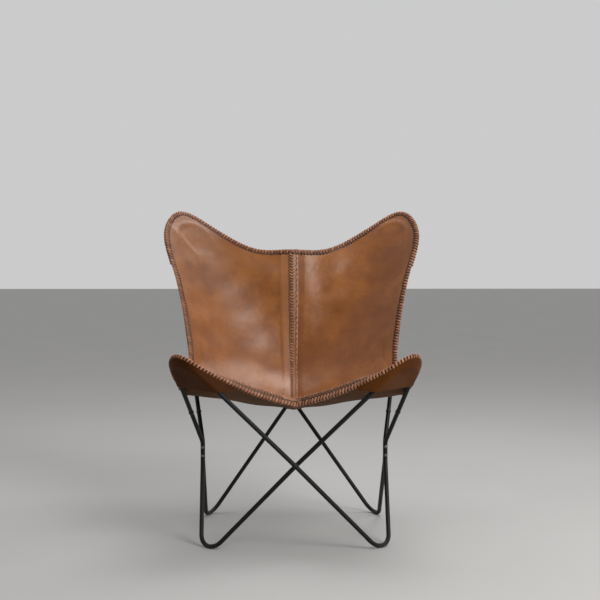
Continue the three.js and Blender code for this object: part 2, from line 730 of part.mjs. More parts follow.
// Lacing along the free edges: from the front middle round both horns to the top middle
function edgePlaces(grid) {
  const last = grid[0].length - 1;
  const firstOut = grid[0].findIndex(({ across }) => Math.abs(across) >= SEAM_RISE_SHARE);
  const frontRow = grid[0].slice(firstOut);
  const sideColumn = grid.slice(1, -1).map((row) => row[last]);
  const topRow = grid[grid.length - 1].slice(firstOut).reverse();
  return [...frontRow, ...sideColumn, ...topRow];
}
function beyondEdge({ across, along, point, normal }, index, places) {
  const from = places[Math.max(index - 1, 0)].point;
  const to = places[Math.min(index + 1, places.length - 1)].point;
  const outwards = to.clone().sub(from).cross(normal).normalize();
  const inner = slingPlace(across * 0.97, along * 0.97).point;
  if (outwards.dot(point.clone().sub(inner)) < 0) outwards.negate();
  return point.clone().addScaledVector(outwards, 2 * CLEARANCE + EDGE_LACE_DIAMETER / 2);
}

SIDES.forEach(([hand, side]) => {
  const grid = side < 0 ? leftGrid : rightGrid;
  const frontMouth = [FRONT_POCKET_EDGE_SHARE, FRONT_POCKET_SIDE_SHARE, FRONT_MOUTH_LEAN];
  addPiece(`front_${hand}_pocket`, pocketGeometry(side, -1, frontHorn, ...frontMouth), darkLeather);
  const rearMouth = [REAR_POCKET_EDGE_SHARE, REAR_POCKET_SIDE_SHARE, REAR_MOUTH_LEAN];
  addPiece(`rear_${hand}_pocket`, pocketGeometry(side, 1, rearHorn, ...rearMouth), darkLeather);
  const lined = ({ across }) => {
    const place = across * side;
    return place >= SEAM_RISE_SHARE && place < FRONT_POCKET_EDGE_SHARE - POCKET_SPARE_SHARE;
  };
  const hem = grid.slice(0, 2).map((row) => row.filter(lined));
  addPiece(`front_${hand}_hem`, sheetOf(hem, () => -sheetStep, () => true), darkLeather);
  const hemLace = laceGeometry(hem[1], HEM_LACE_DIAMETER, onTop(HEM_LACE_DIAMETER, CLEARANCE));
  addPiece(`front_${hand}_hem_lacing`, hemLace, paleLace);
  const edgeLace = laceGeometry(edgePlaces(grid), EDGE_LACE_DIAMETER, beyondEdge);
  addPiece(`${hand}_edge_lacing`, edgeLace, paleLace);
});

// Lacing of the seam: a column through both layers and a row of stitches along the upper layer's lip
const seamPlaces = (line) => rowLines.map((along) => slingPlace(line, along));
const overSeam = (diameter) => onTop(diameter, 4 * CLEARANCE);
const seamLace = laceGeometry(seamPlaces(SEAM_LACE_SHARE), SEAM_LACE_DIAMETER, overSeam(SEAM_LACE_DIAMETER));
addPiece('seam_lacing', seamLace, paleLace);
const stitchPlaces = seamPlaces(SEAM_STITCH_SHARE);
const seamStitch = laceGeometry(stitchPlaces, SEAM_STITCH_DIAMETER, overSeam(SEAM_STITCH_DIAMETER));
addPiece('seam_stitching', seamStitch, paleLace);

// The origin: on the floor under the middle of the whole chair
const middle = new THREE.Box3().setFromObject(chair).getCenter(vec());
chair.children.forEach((piece) => piece.position.sub(vec(middle.x, middle.y, 0)));

export default chair;
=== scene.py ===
# %% [markdown]
# A butterfly chair: two bent rod frames screwed back to back, and a laced leather sling hung on their
# horns. Every shape stands in the frame of the measured parts and follows the same sizes as they do.
# Sizes are in millimetres, as on a maker's drawing, and are turned to metres last.

# %% Load the measured parts
import math
import bpy
import numpy as np
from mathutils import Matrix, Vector


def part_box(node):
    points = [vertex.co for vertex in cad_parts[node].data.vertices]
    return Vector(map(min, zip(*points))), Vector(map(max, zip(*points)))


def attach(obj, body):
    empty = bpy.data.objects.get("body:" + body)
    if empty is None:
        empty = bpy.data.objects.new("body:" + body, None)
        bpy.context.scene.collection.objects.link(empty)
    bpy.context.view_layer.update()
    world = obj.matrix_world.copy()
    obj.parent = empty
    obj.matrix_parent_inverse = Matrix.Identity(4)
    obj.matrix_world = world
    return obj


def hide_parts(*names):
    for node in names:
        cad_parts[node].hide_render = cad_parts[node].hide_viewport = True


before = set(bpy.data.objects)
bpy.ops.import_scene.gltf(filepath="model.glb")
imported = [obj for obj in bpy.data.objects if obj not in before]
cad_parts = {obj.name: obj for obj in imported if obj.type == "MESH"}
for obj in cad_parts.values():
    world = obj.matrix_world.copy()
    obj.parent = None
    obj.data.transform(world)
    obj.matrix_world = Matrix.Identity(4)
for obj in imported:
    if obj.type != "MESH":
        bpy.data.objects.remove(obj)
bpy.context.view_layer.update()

# %% [markdown]
# The rods come first, because the leather follows them. Each rod is drawn as a line with a few corners:
# up an arm, over a horn, down the diagonal, round the far foot and up the far leg. A corner has a bend
# radius. All four rods come from one list of places, mirrored, so that the two frames fit each other.

# %% Sizes of the rods
MM = 1000.0
FULL_TURN = 2 * math.pi
UP = np.array([0.0, 0.0, 1.0])
HANDS = {"left": -1.0, "right": 1.0}
ROD_RADIUS = 6.0
CLEARANCE = 0.3
ROD_PITCH = 2 * ROD_RADIUS + CLEARANCE
HORN_BEND, FOOT_BEND, SIDE_BEND, CROSSING_BEND = 54.0, 45.0, 25.0, 300.0
FLOOR_WEAR = 0.8
FOOT_ROUNDS = 30
SIDE_JOINT = np.array([256.0, -70.0, 234.0])
SIDE_LENGTH = 52.0
SCREW_SPACING = 24.0


def unit(vectors):
    return vectors / np.linalg.norm(vectors, axis=-1, keepdims=True)


def mirrored(points, hand):
    return np.asarray(points, float) * np.array([hand, 1.0, 1.0])


def smooth(value, start, end):
    share = np.clip((value - start) / (end - start), 0.0, 1.0)
    return share * share * (3.0 - 2.0 * share)


# %% Corners of the two frames
def bend_at(before, corner, after, radius):
    back, on = unit(before - corner), unit(after - corner)
    half = math.acos(float(np.clip(back @ on, -1.0, 1.0))) / 2
    return {
        "centre": corner + unit(back + on) * radius / math.sin(half),
        "start": corner + back * radius / math.tan(half),
        "axis": unit(np.cross(back, on)),
        "turn": math.pi - 2 * half,
    }


def frame_corners(depth, horn, foot, crossing_height, weld_along_arm):
    horn = np.array(horn)
    share = foot[0] / (foot[0] + horn[0])
    arm_foot = SIDE_JOINT + np.array([0.0, depth * ROD_PITCH / 2, SIDE_LENGTH / 2])
    return {
        "horn": horn,
        "crossing": np.array([0.0, foot[1] + (horn[1] - foot[1]) * share, crossing_height]),
        "arm_foot": arm_foot,
        "leg_top": arm_foot - UP * SIDE_LENGTH,
        "weld": arm_foot + unit(horn - arm_foot) * weld_along_arm,
        "foot": foot,
    }


FRAMES = {
    "front": frame_corners(depth=-1, horn=(341.0, -358.0, 567.0), foot=(251.5, -251.0),
                           crossing_height=228.0, weld_along_arm=130.0),
    "rear": frame_corners(depth=1, horn=(396.0, 444.0, 1011.0), foot=(261.0, 209.0),
                          crossing_height=338.0, weld_along_arm=95.0),
}
weld_low, weld_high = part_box("front_crossing_weld")
weld_middle = MM * (weld_low.y + weld_high.y) / 2
MIDDLE = np.array([0.0, FRAMES["front"]["crossing"][1] - weld_middle, 0.0])


def in_metres(points):
    return (np.asarray(points, float) - MIDDLE) / MM


print("the drawing's origin lies", MIDDLE.round(2), "mm from the middle of the chair")


# %% Corner list of one rod
def rod_corners(place, hand):
    corners = FRAMES[place]
    crossing = corners["crossing"] + np.array([0.0, hand * ROD_PITCH / 2, 0.0])
    foot = np.array([*corners["foot"], 0.0])
    for _ in range(FOOT_ROUNDS):
        bend = bend_at(corners["leg_top"], foot, crossing, FOOT_BEND)
        lowest = bend["centre"][2] - FOOT_BEND * math.sqrt(1 - bend["axis"][2] ** 2) - ROD_RADIUS
        foot[2] -= lowest + FLOOR_WEAR
    along_arm = unit(corners["horn"] - corners["arm_foot"]) * CLEARANCE / 2
    return [
        (mirrored(corners["weld"] + along_arm, hand), 0.0),
        (mirrored(corners["horn"], hand), HORN_BEND),
        (crossing, CROSSING_BEND),
        (mirrored(foot, -hand), FOOT_BEND),
        (mirrored(corners["leg_top"], -hand), SIDE_BEND),
        (mirrored(corners["arm_foot"], -hand), SIDE_BEND),
        (mirrored(corners["weld"] - along_arm, -hand), 0.0),
    ]


# %% [markdown]
# Materials are worked out from coordinates on the pieces and from values stored on their points, so they
# need no pictures. One small class lets a texture be written like arithmetic, and one method makes any
# other node.

# %% Classes for node trees and texture arithmetic
class Nodes:
    def __init__(self, tree):
        self.tree = tree

    def given(self, socket):
        return socket

    def put(self, socket, value):
        value = value.socket if isinstance(value, Texture) else value
        if isinstance(value, bpy.types.NodeSocket):
            self.tree.links.new(value, socket)
        else:
            socket.default_value = value

    def node(self, kind, settings, sockets, out=0):
        node = self.tree.nodes.new(kind)
        for key, value in settings.items():
            setattr(node, key, value)
        for key, value in sockets.items():
            self.put(node.inputs[key], value)
        return self.given(node.outputs[out])

    def mix(self, share, first, second):
        return self.node("ShaderNodeMix", {"data_type": "RGBA"}, {0: share, 6: first, 7: second}, 2)

    def step(self, value, start, end):
        return self.node("ShaderNodeMapRange", {"interpolation_type": "SMOOTHSTEP"},
                         {"Value": value, "From Min": start, "From Max": end})


class Texture:
    def __init__(self, finish, socket):
        self.finish, self.socket = finish, socket

    def maths(self, operation, other, clamp=False):
        settings = {"operation": operation, "use_clamp": clamp}
        return self.finish.node("ShaderNodeMath", settings, {0: self, 1: other})

    def __add__(self, other):
        return self.maths("ADD", other)

    def __sub__(self, other):
        return self.maths("SUBTRACT", other)

    def __mul__(self, other):
        return self.maths("MULTIPLY", other)

    def __rsub__(self, other):
        return (self * -1.0) + other

    __radd__, __rmul__ = __add__, __mul__

    def step(self, start, end):
        return self.finish.step(self, start, end)


class Finish(Nodes):
    def __init__(self, name):
        self.material = bpy.data.materials.new(name)
        self.material.use_nodes = True
        super().__init__(self.material.node_tree)
        self.place = self.node("ShaderNodeTexCoord", {}, {}, "Object")

    def given(self, socket):
        return Texture(self, socket)

    def noise(self, scale, detail, roughness):
        sockets = {"Vector": self.place, "Scale": scale, "Detail": detail, "Roughness": roughness}
        return self.node("ShaderNodeTexNoise", {}, sockets, "Fac")

    def cells(self, scale, feature):
        sockets = {"Vector": self.place, "Scale": scale}
        return self.node("ShaderNodeTexVoronoi", {"feature": feature}, sockets, "Distance")

    def stored(self, name):
        return self.node("ShaderNodeAttribute", {"attribute_name": name}, {}, "Fac")

    def bump(self, height, strength, distance, **under):
        sockets = {"Height": height, "Strength": strength, "Distance": distance, **under}
        return self.node("ShaderNodeBump", {}, sockets)

    def set(self, **sockets):
        shader = self.tree.nodes["Principled BSDF"]
        for key, value in sockets.items():
            self.put(shader.inputs[key.replace("_", " ")], value)
        return self.material


# %% Tones
TONES = {
    "deep tan": (131, 75, 26), "pale tan": (158, 97, 42), "smoky tan": (116, 62, 24), "speck": (108, 60, 30),
    # The pinkish rubbed tone serves both worn edges and a painted sheen; the dark shaded tone is painted
    # shade.
    "rubbed tan": (190, 136, 100), "shaded tan": (52, 25, 9), "pore": (96, 56, 32),
    "dark flesh": (84, 56, 35), "pale flesh": (100, 69, 45), "nap": (64, 42, 27),
    "dark cut": (50, 28, 16), "pale cut": (76, 44, 25),
    # The hole tone is painted shade for the dark inside a lace hole.
    "dark lace": (98, 54, 34), "pale lace": (184, 126, 92), "streak": (142, 88, 54), "hole": (15, 8, 5),
    "black": (11, 11, 12), "worn black": (17, 17, 19), "scuff": (92, 87, 82),
    "dark weld": (22, 22, 24), "pale weld": (44, 43, 43), "steel": (128, 127, 125), "stain": (88, 86, 83),
    "dark floor": (178, 177, 175), "pale floor": (188, 187, 185),
}


def tone(name):
    values = [channel / 255.0 for channel in TONES[name]]
    return tuple(v / 12.92 if v <= 0.04045 else ((v + 0.055) / 1.055) ** 2.4 for v in values) + (1.0,)


# %% [markdown]
# The leather is a tan grain leather, waxed and a little uneven in colour. It is ochre where the wax is
# thin, pinkish where it was rubbed at the edges and paler along the raised seam. A painted pinkish sheen
# lies over the rod ridges and the folds, and painted shade darkens it between the lace loops, along the
# hem and seam lacing, beside the lap, at the left horn and on the pockets. Its grain is a net of small
# cells.

# %% Grain side of the leather
def grain_leather(name, sheen):
    hide = Finish(name)
    cloud = hide.noise(scale=5.5, detail=4.0, roughness=0.55)
    smoke = hide.noise(scale=19.0, detail=5.0, roughness=0.6)
    fine = hide.noise(scale=160.0, detail=4.0, roughness=0.65)
    wave = hide.noise(scale=46.0, detail=3.0, roughness=0.5)
    pores = hide.cells(780.0, "F1")
    grain = hide.cells(430.0, "DISTANCE_TO_EDGE").step(0.0, 0.22)
    # One stored value holds worn edges and a painted pinkish sheen on rod ridges and folds, so worn below
    # mixes wear with painted sheen; the other stored value is painted shade.
    rubbed, shaded = hide.stored("rubbed"), hide.stored("shaded")
    worn = (rubbed * (0.55 + 0.6 * smoke)).maths("MULTIPLY", 0.62, clamp=True)
    colour = hide.mix(cloud.step(0.36, 0.66), tone("deep tan"), tone("pale tan"))
    colour = hide.mix(smoke.step(0.44, 0.72) * 0.6, colour, tone("smoky tan"))
    colour = hide.mix(fine.step(0.5, 0.8) * 0.22, colour, tone("speck"))
    # Pinkish tone for the worn edges and for the painted sheen.
    colour = hide.mix(worn, colour, tone("rubbed tan"))
    # Painted shade, mixed towards a dark tan.
    colour = hide.mix(shaded * 0.92, colour, tone("shaded tan"))
    colour = hide.mix(pores.step(0.16, 0.02) * 0.3, colour, tone("pore"))
    coarse = hide.bump(wave, strength=0.22, distance=0.004)
    relief = grain * 0.7 + pores * 0.3 + fine * 0.4
    close = hide.bump(relief, strength=0.22, distance=0.0006, Normal=coarse)
    rough = 0.21 + 0.15 * smoke - 0.05 * rubbed + 0.3 * shaded
    return hide.set(Base_Color=colour, Roughness=rough, Normal=close, Coat_Weight=0.12 - 0.12 * shaded,
                    Coat_Roughness=0.22, Specular_IOR_Level=sheen)


# %% Flesh side and cut edges of the leather
def flesh_leather():
    hide = Finish("leather_flesh_side")
    cloud = hide.noise(scale=14.0, detail=5.0, roughness=0.6)
    nap = hide.noise(scale=420.0, detail=5.0, roughness=0.7)
    colour = hide.mix(cloud.step(0.35, 0.7), tone("dark flesh"), tone("pale flesh"))
    colour = hide.mix(nap.step(0.45, 0.75) * 0.4, colour, tone("nap"))
    fuzz = hide.bump(nap, strength=0.5, distance=0.0009)
    return hide.set(Base_Color=colour, Roughness=0.82 + 0.12 * cloud, Normal=fuzz, Specular_IOR_Level=0.2)


def edge_leather():
    hide = Finish("leather_cut_edge")
    layers = hide.noise(scale=260.0, detail=5.0, roughness=0.7)
    colour = hide.mix(layers.step(0.4, 0.7), tone("dark cut"), tone("pale cut"))
    relief = hide.bump(layers, strength=0.4, distance=0.0006)
    return hide.set(Base_Color=colour, Roughness=0.5 + 0.2 * layers, Normal=relief)


# %% Lace
def lace_leather():
    lace = Finish("lace")
    streak = lace.noise(scale=210.0, detail=4.0, roughness=0.6)
    fine = lace.noise(scale=900.0, detail=3.0, roughness=0.6)
    hole = lace.stored("hole")
    colour = lace.mix(lace.stored("tint"), tone("dark lace"), tone("pale lace"))
    colour = lace.mix(streak.step(0.5, 0.78) * 0.45, colour, tone("streak"))
    # The hole discs get painted shade for the dark inside each lace hole.
    colour = lace.mix(hole, colour, tone("hole"))
    return lace.set(Base_Color=colour, Roughness=0.5 + 0.18 * streak + 0.2 * hole,
                    Normal=lace.bump(fine + streak, strength=0.35, distance=0.0005))


# %% Black coat, weld, screw steel and floor
def black_coat():
    coat = Finish("frame_black")
    peel = coat.noise(scale=520.0, detail=2.0, roughness=0.5)
    cloud = coat.noise(scale=34.0, detail=4.0, roughness=0.6)
    height = coat.node("ShaderNodeSeparateXYZ", {}, {0: coat.place}, "Z")
    scuff = height.step(0.011, 0.001) * coat.noise(scale=240.0, detail=5.0, roughness=0.7).step(0.42, 0.62)
    dust = coat.noise(scale=900.0, detail=2.0, roughness=0.5).step(0.68, 0.78) * 0.12
    colour = coat.mix(cloud.step(0.3, 0.7), tone("black"), tone("worn black"))
    colour = coat.mix(scuff + dust, colour, tone("scuff"))
    return coat.set(Base_Color=colour, Roughness=0.42 + 0.12 * cloud + 0.25 * scuff,
                    Normal=coat.bump(peel, strength=0.12, distance=0.0006), Specular_IOR_Level=0.3)


def weld_coat():
    coat = Finish("weld_black")
    crust = coat.noise(scale=700.0, detail=4.0, roughness=0.6)
    colour = coat.mix(crust.step(0.35, 0.7), tone("dark weld"), tone("pale weld"))
    relief = coat.bump(crust, strength=0.4, distance=0.0008)
    return coat.set(Base_Color=colour, Roughness=0.42 + 0.2 * crust, Normal=relief)


def screw_steel():
    steel = Finish("screw_steel")
    brushed = steel.noise(scale=1500.0, detail=3.0, roughness=0.6)
    stain = steel.noise(scale=300.0, detail=4.0, roughness=0.6)
    colour = steel.mix(stain.step(0.4, 0.75), tone("steel"), tone("stain"))
    return steel.set(Base_Color=colour, Metallic=1.0, Roughness=0.4 + 0.16 * stain,
                     Normal=steel.bump(brushed, strength=0.15, distance=0.0003))


def pale_floor():
    ground = Finish("floor")
    cloud = ground.noise(scale=1.7, detail=5.0, roughness=0.55)
    colour = ground.mix(cloud, tone("dark floor"), tone("pale floor"))
    return ground.set(Base_Color=colour, Roughness=0.7 + 0.1 * cloud)


GRAIN, POCKET = grain_leather("leather_grain", sheen=0.5), grain_leather("leather_pocket", sheen=0.05)
FLESH, CUT = flesh_leather(), edge_leather()
LACE, BLACK, WELD, STEEL = lace_leather(), black_coat(), weld_coat(), screw_steel()
print("materials:", [finish.name for finish in (GRAIN, POCKET, FLESH, CUT, LACE, BLACK, WELD, STEEL)])

# %% [markdown]
# The camera stands in front, a little left of the chair's middle line and as high as the back of the seat.
# The light is a plain soft studio light with its main lamp on the right, over a pale floor.

# %% Camera and light
CAMERA_PLACE = (-65.0, -3465.0, 766.0)
CAMERA_HEADING = math.atan2(0.083, 3.465)
CAMERA_TILT = math.atan2(39.0, 1215.0)
CAMERA_LENS, CAMERA_SENSOR = 72.9, 36.0
SKY_WAY, SKY_START, SKY_END = (0.2, 0.75, 0.63), -0.8, 0.75
SKY_DARK, SKY_BRIGHT = (0.09, 0.09, 0.095, 1.0), (0.60, 0.60, 0.605, 1.0)
scene = bpy.context.scene
scene.view_settings.view_transform = "Standard"
scene.view_settings.look = "None"


def placed(name, data):
    holder = bpy.data.objects.new(name, data)
    scene.collection.objects.link(holder)
    return holder


def turned_to(way):
    return Vector(way).to_track_quat("-Z", "Y").to_euler()


def lamp(name, place, aim, size, power, colour):
    light = bpy.data.lights.new(name, "AREA")
    light.size, light.energy, light.color = size, power, colour
    holder = placed(name, light)
    holder.location, holder.rotation_euler = place, turned_to(Vector(aim) - Vector(place))


def studio_world():
    world = bpy.data.worlds.new("studio")
    world.use_nodes = True
    sky = Nodes(world.node_tree)
    way = sky.node("ShaderNodeTexCoord", {}, {}, "Generated")
    height = sky.node("ShaderNodeVectorMath", {"operation": "DOT_PRODUCT"}, {0: way, 1: SKY_WAY}, "Value")
    shade = sky.mix(sky.step(height, SKY_START, SKY_END), SKY_DARK, SKY_BRIGHT)
    sky.put(world.node_tree.nodes["Background"].inputs["Color"], shade)
    return world


ahead = math.cos(CAMERA_TILT)
camera = placed("camera", bpy.data.cameras.new("camera"))
camera.location = in_metres(CAMERA_PLACE)
camera.rotation_euler = turned_to(
    (math.sin(CAMERA_HEADING) * ahead, math.cos(CAMERA_HEADING) * ahead, -math.sin(CAMERA_TILT)))
camera.data.lens, camera.data.sensor_width = CAMERA_LENS, CAMERA_SENSOR
scene.camera = camera
scene.world = studio_world()
lamp("main_light", (1.9, -2.4, 2.7), aim=(0.0, 0.0, 0.5), size=1.4, power=64.0, colour=(1.0, 0.97, 0.94))
lamp("fill_light", (2.3, -2.6, 1.1), aim=(0.1, 0.0, 0.5), size=1.0, power=21.0, colour=(0.96, 0.98, 1.0))
lamp("top_light", (0.6, 1.0, 3.1), aim=(0.1, 0.0, 0.5), size=1.8, power=36.0, colour=(1.0, 1.0, 1.0))
print("camera at", [round(place, 3) for place in camera.location])


# %% Plain meshes and the floor
FLOOR_REACH = 30.0


def plain_mesh(name, points, faces=(), edges=(), materials=(), **values):
    mesh = bpy.data.meshes.new(name)
    mesh.from_pydata(np.asarray(points, float).tolist(), edges, faces)
    for material in materials:
        mesh.materials.append(material)
    for label, data in values.items():
        data = np.asarray(data, float)
        kind, field = ("FLOAT", "value") if data.ndim == 1 else ("FLOAT_VECTOR", "vector")
        mesh.attributes.new(label, kind, "POINT").data.foreach_set(field, data.ravel())
    mesh.shade_smooth()
    return mesh


def line_mesh(name, points, **values):
    edges = [(index, index + 1) for index in range(len(points) - 1)]
    return plain_mesh(name, points, edges=edges, **values)


def ring_faces(rings, sides, closed_rings):
    faces = []
    for ring in range(rings if closed_rings else rings - 1):
        here, after = ring * sides, (ring + 1) % rings * sides
        for side in range(sides):
            beside = (side + 1) % sides
            faces.append((here + side, here + beside, after + beside, after + side))
    return faces


def tube_faces(rings, sides, first=0):
    count = rings * sides
    caps = [tuple(range(sides))[::-1], tuple(range(count - sides, count))]
    return [tuple(first + corner for corner in face) for face in ring_faces(rings, sides, False) + caps]


floor_corners = [(x * FLOOR_REACH, y * FLOOR_REACH, 0.0) for x, y in ((-1, -1), (1, -1), (1, 1), (-1, 1))]
floor = placed("floor", plain_mesh("floor", floor_corners, [(0, 1, 2, 3)], materials=[pale_floor()]))
print("floor reaches", FLOOR_REACH, "m each way")


# %% [markdown]
# Shapes that follow a rule are grown by node trees: a rod from its corner line, laces from an edge line.
# One class makes such a tree with named inputs, and one function grows a plain mesh with it.

# %% A class for trees that grow shapes
class Growth(Nodes):
    def __init__(self, name, inputs):
        super().__init__(bpy.data.node_groups.new(name, "GeometryNodeTree"))
        sockets = [("Geometry", "OUTPUT", "Geometry"), ("Geometry", "INPUT", "Geometry")]
        sockets += [(label, "INPUT", kind) for label, kind in inputs.items()]
        for label, way, kind in sockets:
            self.tree.interface.new_socket(label, in_out=way, socket_type="NodeSocket" + kind)
        self.inputs = self.tree.nodes.new("NodeGroupInput").outputs
        self.end = self.tree.nodes.new("NodeGroupOutput")

    def named(self, label, kind):
        return self.node("GeometryNodeInputNamedAttribute", {"data_type": kind}, {"Name": label})

    def random(self, low, high):
        return self.node("FunctionNodeRandomValue", {"data_type": "FLOAT"},
                         {2: low, 3: high, "Seed": self.inputs["Seed"]}, 1)

    def object(self, label):
        return self.node("GeometryNodeObjectInfo", {}, {"Object": self.inputs[label]}, "Geometry")

    def on_points(self, points, instance, **sockets):
        sockets.update(Points=points, Instance=instance)
        return self.node("GeometryNodeInstanceOnPoints", {}, sockets)

    def realized(self, geometry):
        return self.node("GeometryNodeRealizeInstances", {}, {0: geometry})

    def finish(self, geometry):
        soft = self.node("GeometryNodeSetShadeSmooth", {}, {"Geometry": geometry})
        sockets = {"Geometry": soft, "Material": self.inputs["Finish"]}
        self.put(self.end.inputs[0], self.node("GeometryNodeSetMaterial", {}, sockets))
        return self.tree


def grown(name, source, tree, values):
    piece = placed(name, source)
    change = piece.modifiers.new("grow", "NODES")
    change.node_group = tree
    for socket in tree.interface.items_tree:
        if socket.in_out == "INPUT" and socket.name in values:
            change[socket.identifier] = values[socket.name]
    bpy.context.view_layer.update()
    shape = piece.evaluated_get(bpy.context.evaluated_depsgraph_get())
    mesh = bpy.data.meshes.new_from_object(shape)
    piece.modifiers.clear()
    piece.data = mesh
    mesh.name = name
    return piece


# %% [markdown]
# A rod is grown from its corner line: the corners are rounded to their bend radius, a round section is
# swept along, and the two screw holes of the side joint are drilled through. The feet are worn flat where
# they stand.

# %% Tree for a rod
BEND_STEPS, ROD_SIDES = 14, 40
HOLE_RADIUS, DRILL_LENGTH, DRILL_SIDES = 2.8, 60.0, 24
ROD_SHARP = math.radians(40)


def rod_growth():
    rod = Growth("bent rod", {"Radius": "Float", "Sides": "Int", "Joint": "Vector", "Spacing": "Float",
                              "Hole": "Float", "Finish": "Material"})
    line = rod.node("GeometryNodeMeshToCurve", {}, {"Mesh": rod.inputs["Geometry"]})
    bent = rod.node("GeometryNodeFilletCurve", {"mode": "POLY"},
                    {"Curve": line, "Count": BEND_STEPS, "Radius": rod.named("bend", "FLOAT")})
    section = rod.node("GeometryNodeCurvePrimitiveCircle", {},
                       {"Resolution": rod.inputs["Sides"], "Radius": rod.inputs["Radius"]})
    bar = rod.node("GeometryNodeCurveToMesh", {},
                   {"Curve": bent, "Profile Curve": section, "Fill Caps": True})
    step = rod.node("ShaderNodeCombineXYZ", {}, {"Z": rod.inputs["Spacing"]})
    holes = rod.node("GeometryNodeMeshLine", {},
                     {"Count": 2, "Start Location": rod.inputs["Joint"], "Offset": step})
    drill = rod.node("GeometryNodeMeshCylinder", {},
                     {"Vertices": DRILL_SIDES, "Radius": rod.inputs["Hole"], "Depth": DRILL_LENGTH / MM})
    turned = rod.node("FunctionNodeEulerToRotation", {}, {0: (math.pi / 2, 0.0, 0.0)})
    drills = rod.realized(rod.on_points(holes, drill, Rotation=turned))
    drilled = rod.node("GeometryNodeMeshBoolean", {"operation": "DIFFERENCE", "solver": "MANIFOLD"},
                       {"Mesh 1": bar, "Mesh 2": drills})
    return rod.finish(drilled)


# %% Grow the four rods
rods = {}
rod_tree = rod_growth()
for place in FRAMES:
    for label, hand in HANDS.items():
        node = f"{place}_frame_{label}_rod"
        corners = rod_corners(place, hand)
        line = line_mesh(node, in_metres([at for at, _ in corners]),
                         bend=[radius / MM for _, radius in corners])
        joint = in_metres(mirrored(SIDE_JOINT, -hand) - UP * SCREW_SPACING / 2)
        rods[node] = grown(node + "_bar", line, rod_tree, {
            "Radius": ROD_RADIUS / MM, "Sides": ROD_SIDES, "Joint": joint, "Spacing": SCREW_SPACING / MM,
            "Hole": HOLE_RADIUS / MM, "Finish": BLACK})
        for vertex in rods[node].data.vertices:
            vertex.co.z = max(vertex.co.z, 0.0)
        rods[node].data.set_sharp_from_angle(angle=ROD_SHARP)
        print(node, "faces:", len(rods[node].data.polygons))

# %% [markdown]
# The weld round each butt joint is a closed ring of overlapping beads, turned round the arm. The crossing
# weld is the measured bead, whose shape is right as it is. Screw heads are plain domes, and nuts have six
# sides.

# %% Butt welds
WELD_RINGS, WELD_SIDES, WELD_BEADS = 72, 10, 9
WELD_RADIUS, WELD_HEIGHT, WELD_WIDTH, WELD_WANDER = 6.75, 0.55, 3.1, 0.35
BEAD_LOW = 0.75


def butt_weld(name, centre, axis):
    first = unit(np.cross(axis, UP))
    second = np.cross(axis, first)
    points = []
    for ring in range(WELD_RINGS):
        turn = FULL_TURN * ring / WELD_RINGS
        out = first * math.cos(turn) + second * math.sin(turn)
        bead = BEAD_LOW + (1 - BEAD_LOW) * abs(math.sin(WELD_BEADS * turn / 2))
        wander = WELD_WANDER * math.sin(WELD_BEADS * turn)
        for side in range(WELD_SIDES):
            angle = FULL_TURN * side / WELD_SIDES
            lift = WELD_RADIUS + WELD_HEIGHT * bead * math.sin(angle)
            points.append(centre + out * lift + axis * (WELD_WIDTH * bead * math.cos(angle) + wander))
    faces = ring_faces(WELD_RINGS, WELD_SIDES, True)
    return placed(name, plain_mesh(name, in_metres(points), faces, materials=[WELD]))


welds = {}
for place, corners in FRAMES.items():
    for label, hand in HANDS.items():
        node = f"{place}_{label}_butt_weld"
        axis = unit(mirrored(corners["horn"] - corners["arm_foot"], hand))
        welds[node] = butt_weld(node + "_bead", mirrored(corners["weld"], hand), axis)
print("butt welds:", len(welds))

# %% Screws and nuts
SEAT, SHANK = 12.3, 2.5
HEAD_RADIUS, HEAD_RIM, HEAD_DOME = 4.5, 0.2, 3.0
DOME_START, DOME_RINGS = 1.5, 9
SHANK_END, TIP_END, TIP_TAPER = SEAT + 4.6, SEAT + 5.5, 0.5
NUT_BORE, NUT_FACE, NUT_WIDTH, NUT_CHAMFER, NUT_END = 2.95, 3.9, 4.55, 0.4, SEAT + 4.0
SCREW_SIDES, NUT_SIDES = 32, 6
FASTENER_SHARP = math.radians(35)
SCREW_PROFILE = [(HEAD_RADIUS * math.cos(angle), -SEAT - HEAD_RIM - HEAD_DOME * math.sin(angle))
                 for angle in np.linspace(DOME_START, 0.0, DOME_RINGS)]
SCREW_PROFILE += [(HEAD_RADIUS, -SEAT), (SHANK, -SEAT), (SHANK, SHANK_END), (SHANK - TIP_TAPER, TIP_END)]
NUT_PROFILE = [(NUT_BORE, SEAT), (NUT_FACE, SEAT), (NUT_WIDTH, SEAT + NUT_CHAMFER),
               (NUT_WIDTH, NUT_END - NUT_CHAMFER), (NUT_FACE, NUT_END), (NUT_BORE, NUT_END)]


def turned_mesh(name, profile, sides, faces):
    angle = -FULL_TURN * (np.arange(sides) + 0.5) / sides
    rings = [np.stack([radius * np.cos(angle), np.full(sides, height), radius * np.sin(angle)], -1)
             for radius, height in profile]
    return plain_mesh(name, np.concatenate(rings) / MM, faces)


def fastener_growth():
    row = Growth("fasteners", {"Part": "Object", "Finish": "Material"})
    return row.finish(row.realized(row.on_points(row.inputs["Geometry"], row.object("Part"))))


